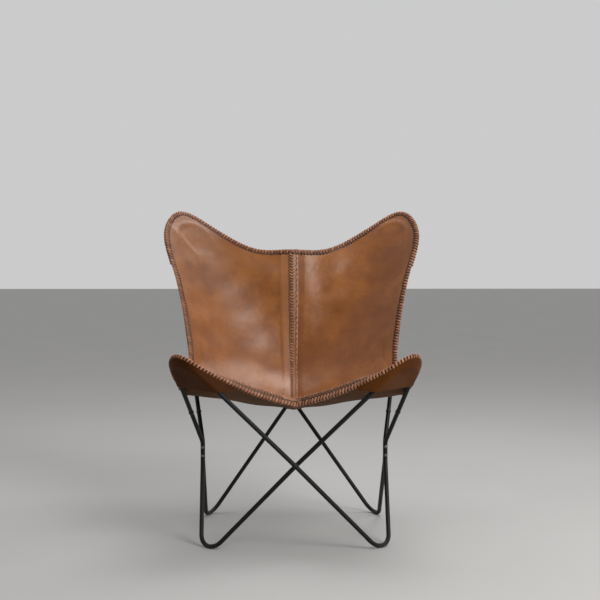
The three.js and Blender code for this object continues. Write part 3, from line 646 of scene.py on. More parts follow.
FASTENERS = {
    "screw": turned_mesh("screw", SCREW_PROFILE, SCREW_SIDES, tube_faces(len(SCREW_PROFILE), SCREW_SIDES)),
    "nut": turned_mesh("nut", NUT_PROFILE, NUT_SIDES, ring_faces(len(NUT_PROFILE), NUT_SIDES, True)),
}
fasteners = {}
fastener_tree = fastener_growth()
for kind, mesh in FASTENERS.items():
    part = placed(kind, mesh)
    for label, hand in HANDS.items():
        for level, share in (("upper", 0.5), ("lower", -0.5)):
            node = f"side_{kind}_{label}_{level}"
            at = in_metres(mirrored(SIDE_JOINT, hand) + UP * share * SCREW_SPACING)
            values = {"Part": part, "Finish": STEEL}
            fasteners[node] = grown(node + "_part", line_mesh(node, [at]), fastener_tree, values)
            fasteners[node].data.set_sharp_from_angle(angle=FASTENER_SHARP)
    bpy.data.objects.remove(part)
print("fasteners:", len(fasteners))


# %% [markdown]
# The sling is one formula. Across runs from 0 at the seam to 1 at the side edge, and along from -1 at the
# front edge to 1 at the top edge. A sheet hangs straight across its middle line, is blended to its edge
# curves, and is lifted where it would touch a rod. Leather hardly stretches, so the edge curves keep
# their measured lengths.

# %% Edge curves
CURVE_STEPS = 201


class EdgeCurve:
    def __init__(self, *points):
        self.points = np.array(points, float)
        self.share = np.linspace(0.0, 1.0, CURVE_STEPS)
        steps = np.linalg.norm(np.diff(self.through(self.share), axis=0), axis=1)
        self.walked = np.concatenate([[0.0], np.cumsum(steps)])
        self.length = self.walked[-1]

    def through(self, share):
        points = self.points
        place = (len(points) - 1) * np.asarray(share, float)
        index = np.minimum(np.floor(place).astype(int), len(points) - 2)
        part = (place - index)[..., None]
        longer = np.concatenate([[2 * points[0] - points[1]], points, [2 * points[-1] - points[-2]]])
        a, b, c, d = (longer[index + step] for step in range(4))
        gap = [((q - p) ** 2).sum(-1, keepdims=True) ** 0.25 for p, q in ((a, b), (b, c), (c, d))]
        leave = ((b - a) / gap[0] - (c - a) / (gap[0] + gap[1]) + (c - b) / gap[1]) * gap[1]
        arrive = ((c - b) / gap[1] - (d - b) / (gap[1] + gap[2]) + (d - c) / gap[2]) * gap[1]
        return (b + leave * part + (3 * (c - b) - 2 * leave - arrive) * part ** 2
                + (2 * (b - c) + leave + arrive) * part ** 3)

    def at(self, share):
        return self.through(np.interp(np.asarray(share, float) * self.length, self.walked, self.share))


# %% Horns and the curves that hang on them
LEATHER = 3.0
SLING_TO_ROD = ROD_RADIUS + CLEARANCE + LEATHER / 2


def horn_plane(corners):
    arm, diagonal = unit(corners["horn"] - corners["arm_foot"]), unit(corners["horn"] - corners["crossing"])
    face = unit(np.cross(arm, diagonal))
    face = face if face[2] > 0 else -face
    return {"tip": corners["horn"], "face": face, "down": -unit(arm + diagonal), "out": unit(diagonal - arm)}


HORNS = {place: horn_plane(corners) for place, corners in FRAMES.items()}


def on_horn(place, down, out):
    horn = HORNS[place]
    return horn["tip"] + horn["down"] * down + horn["out"] * out + horn["face"] * SLING_TO_ROD


front_middle, top_middle = np.array([0.0, -232.0, 376.0]), np.array([0.0, 348.0, 800.0])
front_corner, rear_corner = on_horn("front", 10, 8), on_horn("rear", 56, 8)
front_edge = EdgeCurve(front_middle, (130, -305, 427), on_horn("front", 97, -54), front_corner)
top_edge = EdgeCurve(top_middle, (112, 366, 803), (228, 402, 859), rear_corner)
side_edge = EdgeCurve(
    front_corner, on_horn("front", 102, 71), on_horn("front", 202, 98), (300, -100, 402), (303, 20, 432),
    (307, 85, 497), on_horn("rear", 504, 145), on_horn("rear", 370, 120), on_horn("rear", 199, 100),
    rear_corner)
middle_line = EdgeCurve(front_middle, (0, -110, 362), (0, 60, 344), (0, 215, 425), top_middle)
print("lengths, mm: front", round(front_edge.length), "top", round(top_edge.length),
      "side", round(side_edge.length), "middle", round(middle_line.length))

# %% Points along the rods
BEND_POINTS, POINT_SPACING = 12, 5.0
LOWEST = SIDE_JOINT[2] + SIDE_LENGTH


def rod_points(place, hand):
    corners = rod_corners(place, hand)
    points = [corners[0][0]]
    for (before, _), (at, radius), (after, _) in zip(corners, corners[1:], corners[2:]):
        bend = bend_at(before, at, after, radius)
        arm = bend["start"] - bend["centre"]
        side = np.cross(bend["axis"], arm)
        for angle in np.linspace(0.0, -bend["turn"], BEND_POINTS):
            points.append(bend["centre"] + arm * math.cos(angle) + side * math.sin(angle))
    points.append(corners[-1][0])
    dense = [points[0]]
    for start, end in zip(points[:-1], points[1:]):
        steps = max(1, math.ceil(np.linalg.norm(end - start) / POINT_SPACING))
        dense += [start + (end - start) * (step + 1) / steps for step in range(steps)]
    return np.array(dense)


ROD_LINES = {place: [rod_points(place, hand) for hand in HANDS.values()] for place in FRAMES}


def upper_part(line, hand):
    return line[(line[:, 2] > LOWEST) & (line[:, 0] * hand >= 0)]


def rod_gaps(points, line, up):
    height = (points @ up)[:, None] - (line @ up)[None]
    apart = (points ** 2).sum(1)[:, None] + (line ** 2).sum(1)[None] - 2.0 * points @ line.T
    return height, apart - height ** 2


# %% The hanging sheet
HEM_SHARE, HEM_RUN_OUT, HEM_HEIGHT, HEM_FADE = 0.055, 0.32, 20.0, (0.4, 0.8)
COVER_WIDTH, COVER_SLOPE = 48.0, 1.6
CORNER_POWER, NORMAL_STEP, TINY = 9, 0.01, 1e-9


def hem_rise(across, along):
    from_edge = 1.0 + along
    rise = np.where(from_edge < HEM_SHARE, np.sin(np.pi / 2 * np.clip(from_edge / HEM_SHARE, 0, 1)),
                    1.0 - smooth(from_edge, HEM_SHARE, HEM_RUN_OUT))
    return HEM_HEIGHT * rise * (1.0 - smooth(across, *HEM_FADE))


def hanging(across, along):
    share = (1.0 + along) / 2.0
    weight = np.stack([across, across ** 2, across ** 2], -1)
    middle = middle_line.at(share)
    points = middle + (side_edge.at(share) - middle) * weight
    to_front = front_edge.at(across) - front_middle - (front_corner - front_middle) * weight
    to_top = top_edge.at(across) - top_middle - (rear_corner - top_middle) * weight
    points = points + ((1.0 - share) ** 2)[..., None] * to_front + (share ** 2)[..., None] * to_top
    points[..., 2] += hem_rise(across, along)
    return points


def clear_of_rods(points, hand):
    for place, lines in ROD_LINES.items():
        up = mirrored(HORNS[place]["face"], hand)
        for line in lines:
            height, beside = rod_gaps(points, upper_part(line, hand), up)
            cover = np.minimum(1.0, COVER_SLOPE * (1.0 - beside / COVER_WIDTH ** 2))
            near = (np.abs(height) <= COVER_WIDTH) & (cover > 0)
            lift = np.where(near, cover * (SLING_TO_ROD - height), 0.0)
            points = points + up * np.clip(lift.max(1), 0.0, None)[:, None]
    return points


def sling_points(across, along):
    shape = np.shape(across)
    across, along = np.ravel(across), np.ravel(along)
    points = np.empty((len(across), 3))
    for hand in HANDS.values():
        own = (across < 0) == (hand < 0)
        if own.any():
            points[own] = clear_of_rods(mirrored(hanging(np.abs(across[own]), along[own]), hand), hand)
    return points.reshape(*shape, 3)


def inside(share):
    return np.clip(share, -1.0, 1.0)


def sling_places(across, along):
    across, along = np.broadcast_arrays(np.asarray(across, float), np.asarray(along, float))
    wide, high = np.abs(across), np.abs(along)
    rounded = (wide ** CORNER_POWER + high ** CORNER_POWER) ** (1 / CORNER_POWER)
    shrink = np.maximum(wide, high) / np.maximum(rounded, TINY)
    u, v = across * shrink, along * shrink
    by_width = sling_points(inside(u + NORMAL_STEP), v) - sling_points(inside(u - NORMAL_STEP), v)
    by_length = sling_points(u, inside(v + NORMAL_STEP)) - sling_points(u, inside(v - NORMAL_STEP))
    return sling_points(u, v), unit(np.cross(by_width, by_length))


# %% [markdown]
# A leather sheet is a closed skin: a grain side towards the sitter, a flesh side below, and a cut edge
# between them that is a little rounded. The sheets also carry values for the material: where they are
# worn, where a painted sheen lies, and where painted shade darkens them.

# %% A closed sheet from a grid
RIM_BULGE = 0.7


def leather_sheet(name, middle, normal, materials, thickness=LEATHER, **values):
    rows, columns = middle.shape[:2]
    count = rows * columns
    index = np.arange(count).reshape(rows, columns)
    flat, half = middle.reshape(-1, 3), normal.reshape(-1, 3) * thickness / 2
    cells = np.stack([index[:-1, :-1], index[:-1, 1:], index[1:, 1:], index[1:, :-1]], -1).reshape(-1, 4)
    cell = (flat + half)[cells[len(cells) // 2]]
    if np.cross(cell[1] - cell[0], cell[3] - cell[0]) @ normal[rows // 2, columns // 2] < 0:
        cells = cells[:, ::-1]
    rim = np.concatenate([index[0, :-1], index[:-1, -1], index[-1, :0:-1], index[:0:-1, 0]])
    inner = np.concatenate([index[1, :-1], index[:-1, -2], index[-2, :0:-1], index[:0:-1, 1]])
    out = flat[rim] - flat[inner]
    out = out / np.maximum(np.linalg.norm(out, axis=1, keepdims=True), TINY)
    points = np.concatenate([flat + half, flat - half, flat[rim] + out * RIM_BULGE])
    after = np.roll(np.arange(len(rim)), -1)
    band = 2 * count + np.arange(len(rim))
    top_band = np.stack([rim, rim[after], band[after], band], -1)
    low_band = np.stack([band, band[after], count + rim[after], count + rim], -1)
    outward = np.cross(points[rim[after[0]]] - points[rim[0]], points[band[0]] - points[rim[0]])
    if outward @ (2 * half[rim[0]] + out[0]) < 0:
        top_band, low_band = top_band[:, ::-1], low_band[:, ::-1]
    faces = np.concatenate([cells, cells[:, ::-1] + count, top_band, low_band])
    for label, data in values.items():
        data = np.broadcast_to(data, (rows, columns)).ravel()
        values[label] = np.concatenate([data, data, data[rim]])
    mesh = plain_mesh(name, in_metres(points), faces.tolist(), materials=materials, **values)
    which = np.repeat([0, 1, 2], [len(cells), len(cells), 2 * len(rim)])
    mesh.polygons.foreach_set("material_index", which.astype(np.int32))
    return placed(name, mesh)


def sheet_area(middle):
    one, other = np.diff(middle, axis=0)[:, :-1], np.diff(middle, axis=1)[:-1]
    return float(np.linalg.norm(np.cross(one, other), axis=-1).sum()) / MM ** 2


def sheet_size(middle):
    width = np.linalg.norm(np.diff(middle, axis=1), axis=-1).sum(1).max() / MM
    length = np.linalg.norm(np.diff(middle, axis=0), axis=-1).sum(0).max() / MM
    return float(width), float(length)


# %% [markdown]
# Two panels are cut from the hanging sheet and lapped at the seam, the left one on top. A panel is lifted
# by long slow pulls, by a low ridge over each rod near its horn, and by a few folds. Each fold has a
# height, a line of places across and along, and a width.

# %% Sizes of the panels
SEAM_UNDER, SEAM_LACE, SEAM_STITCH, SEAM_LIP, SEAM_RISE = -0.068, -0.006, 0.034, 0.048, 0.1
SHEET_STEP = LEATHER + CLEARANCE
BAND_LIFT = 1.6
LIP_WAVE, LIP_WAVES, LIP_WAVE_START, LIP_STEP = 0.35, 17.0, 0.03, 0.005
HEM_ROW, HOLE_ROW = 0.04, 12.6
EDGE_STARTS = {HANDS["left"]: -0.04, HANDS["right"]: 0.06}
END_POINTS, SIDE_POINTS = 240, 420
PANEL_ROWS, SEAM_COLUMNS, PANEL_COLUMNS = 230, 24, 92
ROW_CROWDING, COLUMN_CROWDING = 0.4, 0.5
RIDGE_LIFT, RIDGE_WIDTH, RIDGE_REACH, RIDGE_FULL, RIDGE_END = 2.4, 9.0, 420.0, 110.0, 330.0
FOLD_SCALE = np.array([330.0, 500.0])
FOLDS = {
    HANDS["left"]: [
        (2.0, [(-0.31, 0.91), (-0.13, 0.85)], 34.0),
        (2.2, [(-0.93, 0.79), (-0.83, 0.775), (-0.65, 0.775)], 16.0),
        (1.6, [(-0.55, -0.02), (-0.11, -0.02)], 40.0),
    ],
    HANDS["right"]: [
        (-1.7, [(0.23, 0.95), (0.2, 0.84), (0.22, 0.73)], 27.0),
        (1.3, [(0.16, 0.65), (0.25, 0.635), (0.37, 0.616)], 24.0),
        (1.5, [(0.29, 0.94), (0.37, 0.88)], 30.0),
    ],
}
SLOW_PULLS = [
    (0.9, (1, 0.3, 0.2), 173.0, 0.4),
    (0.8, (0.4, 1, 0.5), 211.0, 1.3),
    (0.5, (-0.6, 0.5, 1), 97.0, 2.1),
]
CALM_SIDE, CALM_END, CALM_SEAM = (0.0, 0.12), (0.0, 0.1), (0.1, 0.25)
CREASE_SEAM, RIDGE_RIM, RUBBED_RIM = (0.08, 0.14), (0.01, 0.05), (0.95, 0.99)
CREASE_TOP = 2.0
# The ridge and crease weights are a painted pinkish sheen, the edge weight is wear, and the seam weight
# makes the raised seam band paler.
WEAR_AND_SHEEN = {"ridge": 0.35, "crease": 0.22, "edge": 0.25, "seam": 0.5}
# Weights of painted shade: between the lace loops, around the lace holes, along the hem row, over the left
# horn, along the seam lacing and beside the lap.
PAINTED_SHADE = {"loops": 0.5, "holes": 0.4, "hem": 0.5, "horn": 0.3, "seam": 0.9, "lip": 0.3}
LOOP_SHADE, HOLE_SHADE = (3.0, 6.0), (HOLE_ROW + 1.0, HOLE_ROW + 3.5)
HEM_SHADE, HEM_SHADE_END = 0.011, (0.45, 0.52)
LIP_SHADE_AT, LIP_SHADE, SEAM_SHADE = SEAM_LIP + 0.008, 0.01, 0.012
HORN_SHADE_ALONG, HORN_SHADE_ACROSS = (0.3, 0.75), (0.3, 0.7)


# %% Folds and ridges of a panel
def panel_grid(hand):
    seam = np.linspace(SEAM_UNDER if hand > 0 else SEAM_LIP, hand * SEAM_RISE, SEAM_COLUMNS)[:-1]
    share = np.linspace(0.0, 1.0, PANEL_COLUMNS)
    share = share + COLUMN_CROWDING * (np.sin(share * np.pi / 2) - share)
    columns = np.concatenate([seam, hand * (SEAM_RISE + (1.0 - SEAM_RISE) * share)])
    share = np.linspace(0.0, 1.0, PANEL_ROWS)
    even = 2.0 * share - 1.0
    return np.meshgrid(columns, even + ROW_CROWDING * (-np.cos(np.pi * share) - even))


def ripple(points):
    lift = np.zeros(points.shape[:-1])
    for size, direction, length, start in SLOW_PULLS:
        lift += size * np.sin(FULL_TURN * (points @ unit(np.array(direction, float))) / length + start)
    return lift


def fold(across, along, line, width):
    place, line = np.stack([across, along], -1) * FOLD_SCALE, np.array(line) * FOLD_SCALE
    nearest = np.full(across.shape, np.inf)
    for start, end in zip(line[:-1], line[1:]):
        way = end - start
        share = np.clip(((place - start) @ way) / (way @ way), 0.0, 1.0)
        nearest = np.minimum(nearest, np.linalg.norm(place - start - share[..., None] * way, axis=-1))
    return np.exp(-(nearest / width) ** 2)


def rod_ridge(points, hand):
    ridge = np.zeros(points.shape[:-1])
    for place, lines in ROD_LINES.items():
        up, tip = mirrored(HORNS[place]["face"], hand), mirrored(HORNS[place]["tip"], hand)
        fade = 1.0 - smooth(np.linalg.norm(points - tip, axis=-1), RIDGE_FULL, RIDGE_END)
        for line in lines:
            line = line[np.linalg.norm(line - tip, axis=1) < RIDGE_REACH]
            if len(line):
                _, beside = rod_gaps(points.reshape(-1, 3), line, up)
                near = np.sqrt(np.clip(beside.min(1), 0.0, None)).reshape(ridge.shape)
                ridge = np.maximum(ridge, np.exp(-(near / RIDGE_WIDTH) ** 2) * fade)
    return ridge


def free_edge(hand):
    start, end = EDGE_STARTS[hand], np.ones(END_POINTS)
    to_corner = np.linspace(start, 1, END_POINTS)
    across = np.concatenate([to_corner, np.ones(SIDE_POINTS), to_corner[::-1]])
    along = np.concatenate([-end, np.linspace(-1, 1, SIDE_POINTS + 2)[1:-1], end])
    across, along = across[::-int(hand)], along[::-int(hand)]
    edge, normal = sling_places(hand * across, along)
    return across, along, edge, normal


# %% The two panels
def panel_lift(hand, across, along, ridge, creased, middle):
    side, end, out = 1.0 - np.abs(across), 1.0 - np.abs(along), np.abs(across)
    calm = smooth(side, *CALM_SIDE) * smooth(end, *CALM_END) * smooth(out, *CALM_SEAM)
    lift = ripple(middle) * calm + RIDGE_LIFT * ridge + creased * smooth(out, *CREASE_SEAM)
    if hand > 0:
        return lift + (BAND_LIFT - SHEET_STEP) * (1.0 - smooth(across, SEAM_LIP + LIP_STEP, SEAM_RISE))
    wave = LIP_WAVE * np.sin(along * FULL_TURN * LIP_WAVES) * smooth(across, LIP_WAVE_START, SEAM_LIP)
    return lift + BAND_LIFT * smooth(across, -SEAM_RISE, SEAM_UNDER) + wave


# Worn edges and a paler seam band, with a painted sheen over the rod ridges and the raised folds.
def panel_rubbed(hand, across, along, ridge, creased):
    edge = smooth(np.maximum(np.abs(across), np.abs(along)), *RUBBED_RIM)
    band = smooth(across, -SEAM_RISE, SEAM_UNDER) * (hand < 0)
    return (WEAR_AND_SHEEN["ridge"] * ridge ** 2 + WEAR_AND_SHEEN["crease"] * np.clip(creased, 0.0, CREASE_TOP)
            + WEAR_AND_SHEEN["edge"] * edge + WEAR_AND_SHEEN["seam"] * band)


# Painted shade between the lace loops and around the lace holes, along the hem row and the seam lacing,
# beside the lap on the right panel and over the left horn.
def panel_shaded(hand, across, along, middle):
    _, _, edge, _ = free_edge(hand)
    from_edge = np.stack([np.sqrt(((row[:, None] - edge) ** 2).sum(-1).min(1)) for row in middle])
    loops = PAINTED_SHADE["loops"] + PAINTED_SHADE["holes"] * smooth(from_edge, *LOOP_SHADE)
    hem = np.exp(-((along + 1.0 - HEM_ROW) / HEM_SHADE) ** 4)
    hem = hem * (1.0 - smooth(np.abs(across), *HEM_SHADE_END))
    shades = [loops * (1.0 - smooth(from_edge, *HOLE_SHADE)), PAINTED_SHADE["hem"] * hem]
    if hand > 0:
        shades.append(PAINTED_SHADE["lip"] * np.exp(-((across - LIP_SHADE_AT) / LIP_SHADE) ** 2))
    else:
        horn = smooth(along, *HORN_SHADE_ALONG) * smooth(-across, *HORN_SHADE_ACROSS)
        shades.append(PAINTED_SHADE["horn"] * horn)
        shades.append(PAINTED_SHADE["seam"] * np.exp(-((across - SEAM_LACE) / SEAM_SHADE) ** 4))
    return np.max(shades, axis=0)


def panel(name, hand):
    across, along = panel_grid(hand)
    middle, normal = sling_places(across, along)
    from_rim = 1.0 - np.maximum(np.abs(across), np.abs(along))
    ridge = rod_ridge(middle, hand) * smooth(from_rim, *RIDGE_RIM)
    creased = sum(height * fold(across, along, line, width) for height, line, width in FOLDS[hand])
    lift = panel_lift(hand, across, along, ridge, creased, middle)
    middle = middle + normal * lift[..., None]
    piece = leather_sheet(name, middle, normal, (GRAIN, FLESH, CUT),
                          rubbed=panel_rubbed(hand, across, along, ridge, creased),
                          shaded=panel_shaded(hand, across, along, middle))
    return piece, middle


panels, cuts = {}, {}
for label, hand in HANDS.items():
    node = f"sling_{label}_panel"
    panels[node], cuts[node] = panel(f"{label}_panel", hand)
    print(label, "panel: flat size", sheet_size(cuts[node]), "area", round(sheet_area(cuts[node]), 3))

# %% [markdown]
# A pocket is a second piece of leather laced to the panel's edge at a horn. It is drawn tight from the
# edge round the outside of the rod, lies flat between the two rods and ends in a straight mouth, so the
# frame slips in from below.

# %% The way of a pocket's leather
POCKETS = {
    "front": {"end": -1.0, "edge": 0.45, "side": 0.64, "lean": 0.8},
    "rear": {"end": 1.0, "edge": 0.6, "side": 0.5, "lean": 0.4},
}
POCKET_GAP = SHEET_STEP + 2 * CLEARANCE
POCKET_WRAP = SLING_TO_ROD + 0.9
POCKET_LEATHER = LEATHER - 0.2
# Painted shade on the pockets, heavier on the left one.
POCKET_SHADE = {"left": 0.97, "right": 0.8}
POCKET_STEPS, POCKET_POINTS, WRAP_POINTS, FLAT_POINTS = 150, 60, 14, 25
POCKET_REACH = 0.08
EDGE_MARGIN, FAR_MARGIN, FLAT_START = 0.003, 0.03, 0.04
SHORTEST_WAY = 1.0
LINE_BREAK = 12.0


def beside_rod(place, points, hand):
    up = mirrored(HORNS[place]["face"], hand)
    best, level = np.full(len(points), np.inf), np.zeros(len(points))
    centre, outwards = np.zeros((len(points), 3)), np.zeros((len(points), 3))
    for line in ROD_LINES[place]:
        line = upper_part(line, hand)
        for start, way in zip(line[:-1], np.diff(line, axis=0)):
            if np.linalg.norm(way) > LINE_BREAK:
                continue
            flat_way = way - up * (way @ up)
            off = points - start
            flat_off = off - np.outer(off @ up, up)
            share = np.clip(flat_off @ flat_way / (flat_way @ flat_way), 0.0, 1.0)
            at = start + share[:, None] * way
            height = (points - at) @ up
            flat_gap = points - at - np.outer(height, up)
            apart = np.linalg.norm(flat_gap, axis=1)
            nearer = apart < best
            best[nearer], level[nearer], centre[nearer] = apart[nearer], height[nearer], at[nearer]
            outwards[nearer] = flat_gap[nearer] / apart[nearer, None]
    return centre, outwards, best, level, up


def pocket_ends(place, hand, reach):
    pocket = POCKETS[place]
    across = np.array([hand * (pocket["edge"] - reach), hand])
    return sling_places(across, pocket["end"] * np.array([1.0, pocket["side"] - reach]))[0]


def pocket_ways(place, hand):
    pocket = POCKETS[place]
    outline = np.linspace(EDGE_MARGIN, 1 - EDGE_MARGIN, POCKET_STEPS)
    outline = outline * (2.0 - pocket["edge"] - pocket["side"])
    across = np.minimum(1.0, pocket["edge"] + outline)
    along = np.minimum(1.0, 2.0 - pocket["edge"] - outline)
    edge, normal = sling_places(hand * across, pocket["end"] * along)
    edge = edge - normal * POCKET_GAP
    centre, outwards, beside, level, up = beside_rod(place, edge, hand)
    touch = np.arctan2(level, beside) - np.arccos(np.minimum(1.0, POCKET_WRAP / np.hypot(beside, level)))
    ways = [edge]
    for share in np.linspace(0.0, 1.0, WRAP_POINTS):
        angle = (touch + (-np.pi / 2 - touch) * share)[:, None]
        ways.append(centre + POCKET_WRAP * (outwards * np.cos(angle) + up * np.sin(angle)))
    under = beside_rod(place, pocket_ends(place, hand, POCKET_REACH), hand)[0] - up * POCKET_WRAP
    share = np.linspace(FAR_MARGIN, 1 - FAR_MARGIN, POCKET_STEPS)[:, None]
    far = under[0] + (under[1] - under[0]) * share
    ways += [ways[-1] + (far - ways[-1]) * share for share in np.linspace(FLAT_START, 1.0, FLAT_POINTS)]
    return np.stack(ways, 1), up


def pocket_grid(place, hand):
    ways, up = pocket_ways(place, hand)
    mouth = pocket_ends(place, hand, 0.0)
    tip, _ = sling_places(hand, POCKETS[place]["end"])
    away = unit(np.cross(unit(mouth[1] - mouth[0]), up))
    away = -away if (tip - mouth[0]) @ away > 0 else away
    beyond = (ways - mouth.mean(0)) @ unit(away - up * POCKETS[place]["lean"])
    grid = np.empty((POCKET_STEPS, POCKET_POINTS, 3))
    for step, (way, past) in enumerate(zip(ways, beyond)):
        walked = np.concatenate([[0.0], np.cumsum(np.linalg.norm(np.diff(way, axis=0), axis=1))])
        stop = walked[-1]
        if (past > 0).any():
            out = np.argmax(past > 0)
            share = past[out - 1] / (past[out - 1] - past[out])
            stop = walked[out - 1] + (walked[out] - walked[out - 1]) * share if out else SHORTEST_WAY
        at = np.linspace(0.0, max(SHORTEST_WAY, stop), POCKET_POINTS)
        grid[step] = np.stack([np.interp(at, walked, way[:, axis]) for axis in range(3)], -1)
    return grid, up


# %% Make the pockets
def grid_normals(grid, towards):
    normal = np.cross(np.gradient(grid, axis=0), np.gradient(grid, axis=1))
    normal = normal / np.maximum(np.linalg.norm(normal, axis=-1, keepdims=True), TINY)
    return normal if (normal[len(grid) // 2, -1] @ towards) > 0 else -normal


pockets = {}
for place in POCKETS:
    for label, hand in HANDS.items():
        node = f"{place}_{label}_pocket"
        cuts[node], up = pocket_grid(place, hand)
        normal = grid_normals(cuts[node], -up)
        # The pockets' colour is darkened by painted shade.
        pockets[node] = leather_sheet(node + "_leather", cuts[node], normal, (POCKET, FLESH, CUT),
                                      POCKET_LEATHER, rubbed=0.0, shaded=POCKET_SHADE[label])
        print(node, "flat size", sheet_size(cuts[node]), "area", round(sheet_area(cuts[node]), 4))

# %% [markdown]
# A strip of leather stiffens the front edge from below. Its upper row of lacing shows on the seat.

# %% Hem strips
HEM_START, HEM_END, HEM_COLUMNS, HEM_ROWS, HEM_DARKNESS = 0.1, 0.4, 90, 16, 0.2
hems = {}
for label, hand in HANDS.items():
    node = f"front_{label}_hem"
    across, along = np.meshgrid(hand * np.linspace(HEM_START, HEM_END, HEM_COLUMNS),
                                np.linspace(-1.0, HEM_SHARE - 1.0, HEM_ROWS))
    middle, normal = sling_places(across, along)
    cuts[node] = middle - normal * SHEET_STEP
    # HEM_DARKNESS is a little painted shade on the strip's grain side.
    hems[node] = leather_sheet(node + "_strip", cuts[node], normal, (FLESH, GRAIN, CUT),
                               rubbed=0.0, shaded=HEM_DARKNESS)
    print(node, "flat size", sheet_size(cuts[node]), "area", round(sheet_area(cuts[node]), 4))

# %% [markdown]
# Laces are flat leather thongs. Along the free edges they are whipped round the leather, one loop after
# another, each slanting from its hole over the edge to the next. One loop is modelled and set along the
# edge line at its pitch. A thong is squeezed where it goes into its hole, and a dark disc of painted shade
# stands for the dark inside the hole.

# %% One lace loop
THONG_SIDES, HOLE_SIDES = 6, 8
HOLE_TOP, HOLE_BOTTOM = 0.25, -0.6
SQUEEZE_AT = (0.0, 0.33, 0.8, 1.0)
LOOP_WIDTH, LOOP_THICKNESS, LOOP_SQUEEZE = 5.9, 1.6, 0.6
STITCH_THICKNESS, STITCH_SQUEEZE = 1.4, 0.7
HOLE_BEYOND, HOLE_SLANT, HOLE_SINK = 1.0, 0.3, 0.15


def ribbon(path, width, thickness, radial, holes, squeeze):
    path, radial = np.array(path, float), np.array(radial, float)
    tangent = unit(np.gradient(path, axis=0))
    across = unit(np.cross(radial, tangent))
    out = np.cross(tangent, across)
    reach = width / 2 * np.interp(np.linspace(0.0, 1.0, len(path)), SQUEEZE_AT, (squeeze, 1.0, 1.0, squeeze))
    angle = FULL_TURN * np.arange(THONG_SIDES)[:, None] / THONG_SIDES
    rings = [at + wide * np.cos(angle) + high * np.sin(angle)
             for at, wide, high in zip(path, across * reach[:, None], out * thickness / 2)]
    faces = tube_faces(len(path), THONG_SIDES)
    count = len(path) * THONG_SIDES
    angle = FULL_TURN * np.arange(HOLE_SIDES) / HOLE_SIDES
    for number, (centre, depth, breadth) in enumerate(holes):
        faces += tube_faces(2, HOLE_SIDES, count + number * 2 * HOLE_SIDES)
        for height in (HOLE_TOP, HOLE_BOTTOM):
            disc = [depth * np.cos(angle), np.full(HOLE_SIDES, height), breadth * np.sin(angle)]
            rings.append(np.array(centre) + np.stack(disc, -1))
    points = np.concatenate(rings) / MM
    # Points of the hole discs carry the hole value, which the lace material turns into painted shade.
    return plain_mesh("lace", points, faces, hole=(np.arange(len(points)) >= count))


def whip_loop(under):
    path = [(-10.8, 0.5, -3.6), (-10.1, 1.9, -3.4), (-5.6, 2.6, -1.9), (-0.6, 2.5, -0.2), (1.7, 1.2, 0.8),
            (1.9, -0.8 - under / 2, 1.4), (1.2, -1.7 - under, 1.9), (-1.6, -2.6 - under, 2.4),
            (-6.6, -2.5 - under, 3.2), (-8.4, -1.2 - under, 3.5)]
    radial = [(0.0, 1.0, 0.0)] * 3 + [(0.3, 1.0, 0.0), (1.0, 0.7, 0.0), (1.0, -0.2, 0.0), (0.8, -0.9, 0.0)]
    radial += [(0.1, -1.0, 0.0)] * 3
    holes = [((-HOLE_ROW, 1.5, -4.1), 3.1, 2.3), ((-9.6, -1.5 - under, 3.9), 1.6, 1.6)]
    return ribbon(path, LOOP_WIDTH, LOOP_THICKNESS, radial, holes, LOOP_SQUEEZE)


def flat_stitch(length, slant, width, height, hole):
    half = length / 2
    shape = [(-1.0, -0.7), (-0.86, 0.5), (-0.5, 1.0), (0.0, 1.12), (0.5, 1.0), (0.86, 0.5), (1.0, -0.7)]
    path = [(half * x, height * y, slant / 2 * x) for x, y in shape]
    ends = [((side * (half + HOLE_BEYOND), -HOLE_SINK, side * (slant / 2 + HOLE_SLANT)), hole, hole)
            for side in HANDS.values()]
    return ribbon(path, width, STITCH_THICKNESS, [(0.0, 1.0, 0.0)] * len(path), ends, STITCH_SQUEEZE)


# %% Tree for a row of laces
SMALLEST, LARGEST = 0.93, 1.07
DARKEST, PALEST = 0.35, 1.0


def lace_growth():
    row = Growth("row of laces", {"Pitch": "Float", "Lace": "Object", "Wide lace": "Object", "Seed": "Int",
                                  "Finish": "Material"})
    line = row.node("GeometryNodeMeshToCurve", {}, {"Mesh": row.inputs["Geometry"]})
    spaced = row.node("GeometryNodeResampleCurve", {"mode": "LENGTH"},
                      {"Curve": line, "Length": row.inputs["Pitch"]})
    tangent = row.node("GeometryNodeInputTangent", {}, {})
    turned = row.node("FunctionNodeAxesToRotation", {"primary_axis": "Z", "secondary_axis": "X"},
                      {0: tangent, 1: row.named("outwards", "FLOAT_VECTOR")})
    thick = row.node("FunctionNodeCompare", {"data_type": "FLOAT", "operation": "GREATER_THAN"},
                     {0: row.named("layers", "FLOAT"), 1: 0.5})
    thin = row.node("FunctionNodeBooleanMath", {"operation": "NOT"}, {0: thick})
    joined = row.tree.nodes.new("GeometryNodeJoinGeometry")
    for label, chosen in (("Lace", thin), ("Wide lace", thick)):
        size = row.random(SMALLEST, LARGEST)
        laid = row.on_points(spaced, row.object(label), Selection=chosen, Rotation=turned, Scale=size)
        row.put(joined.inputs[0], laid)
    tinted = row.node("GeometryNodeStoreNamedAttribute", {"data_type": "FLOAT", "domain": "INSTANCE"},
                      {"Geometry": joined.outputs[0], "Name": "tint", "Value": row.random(DARKEST, PALEST)})
    return row.finish(row.realized(tinted))


LACE_TREE = lace_growth()


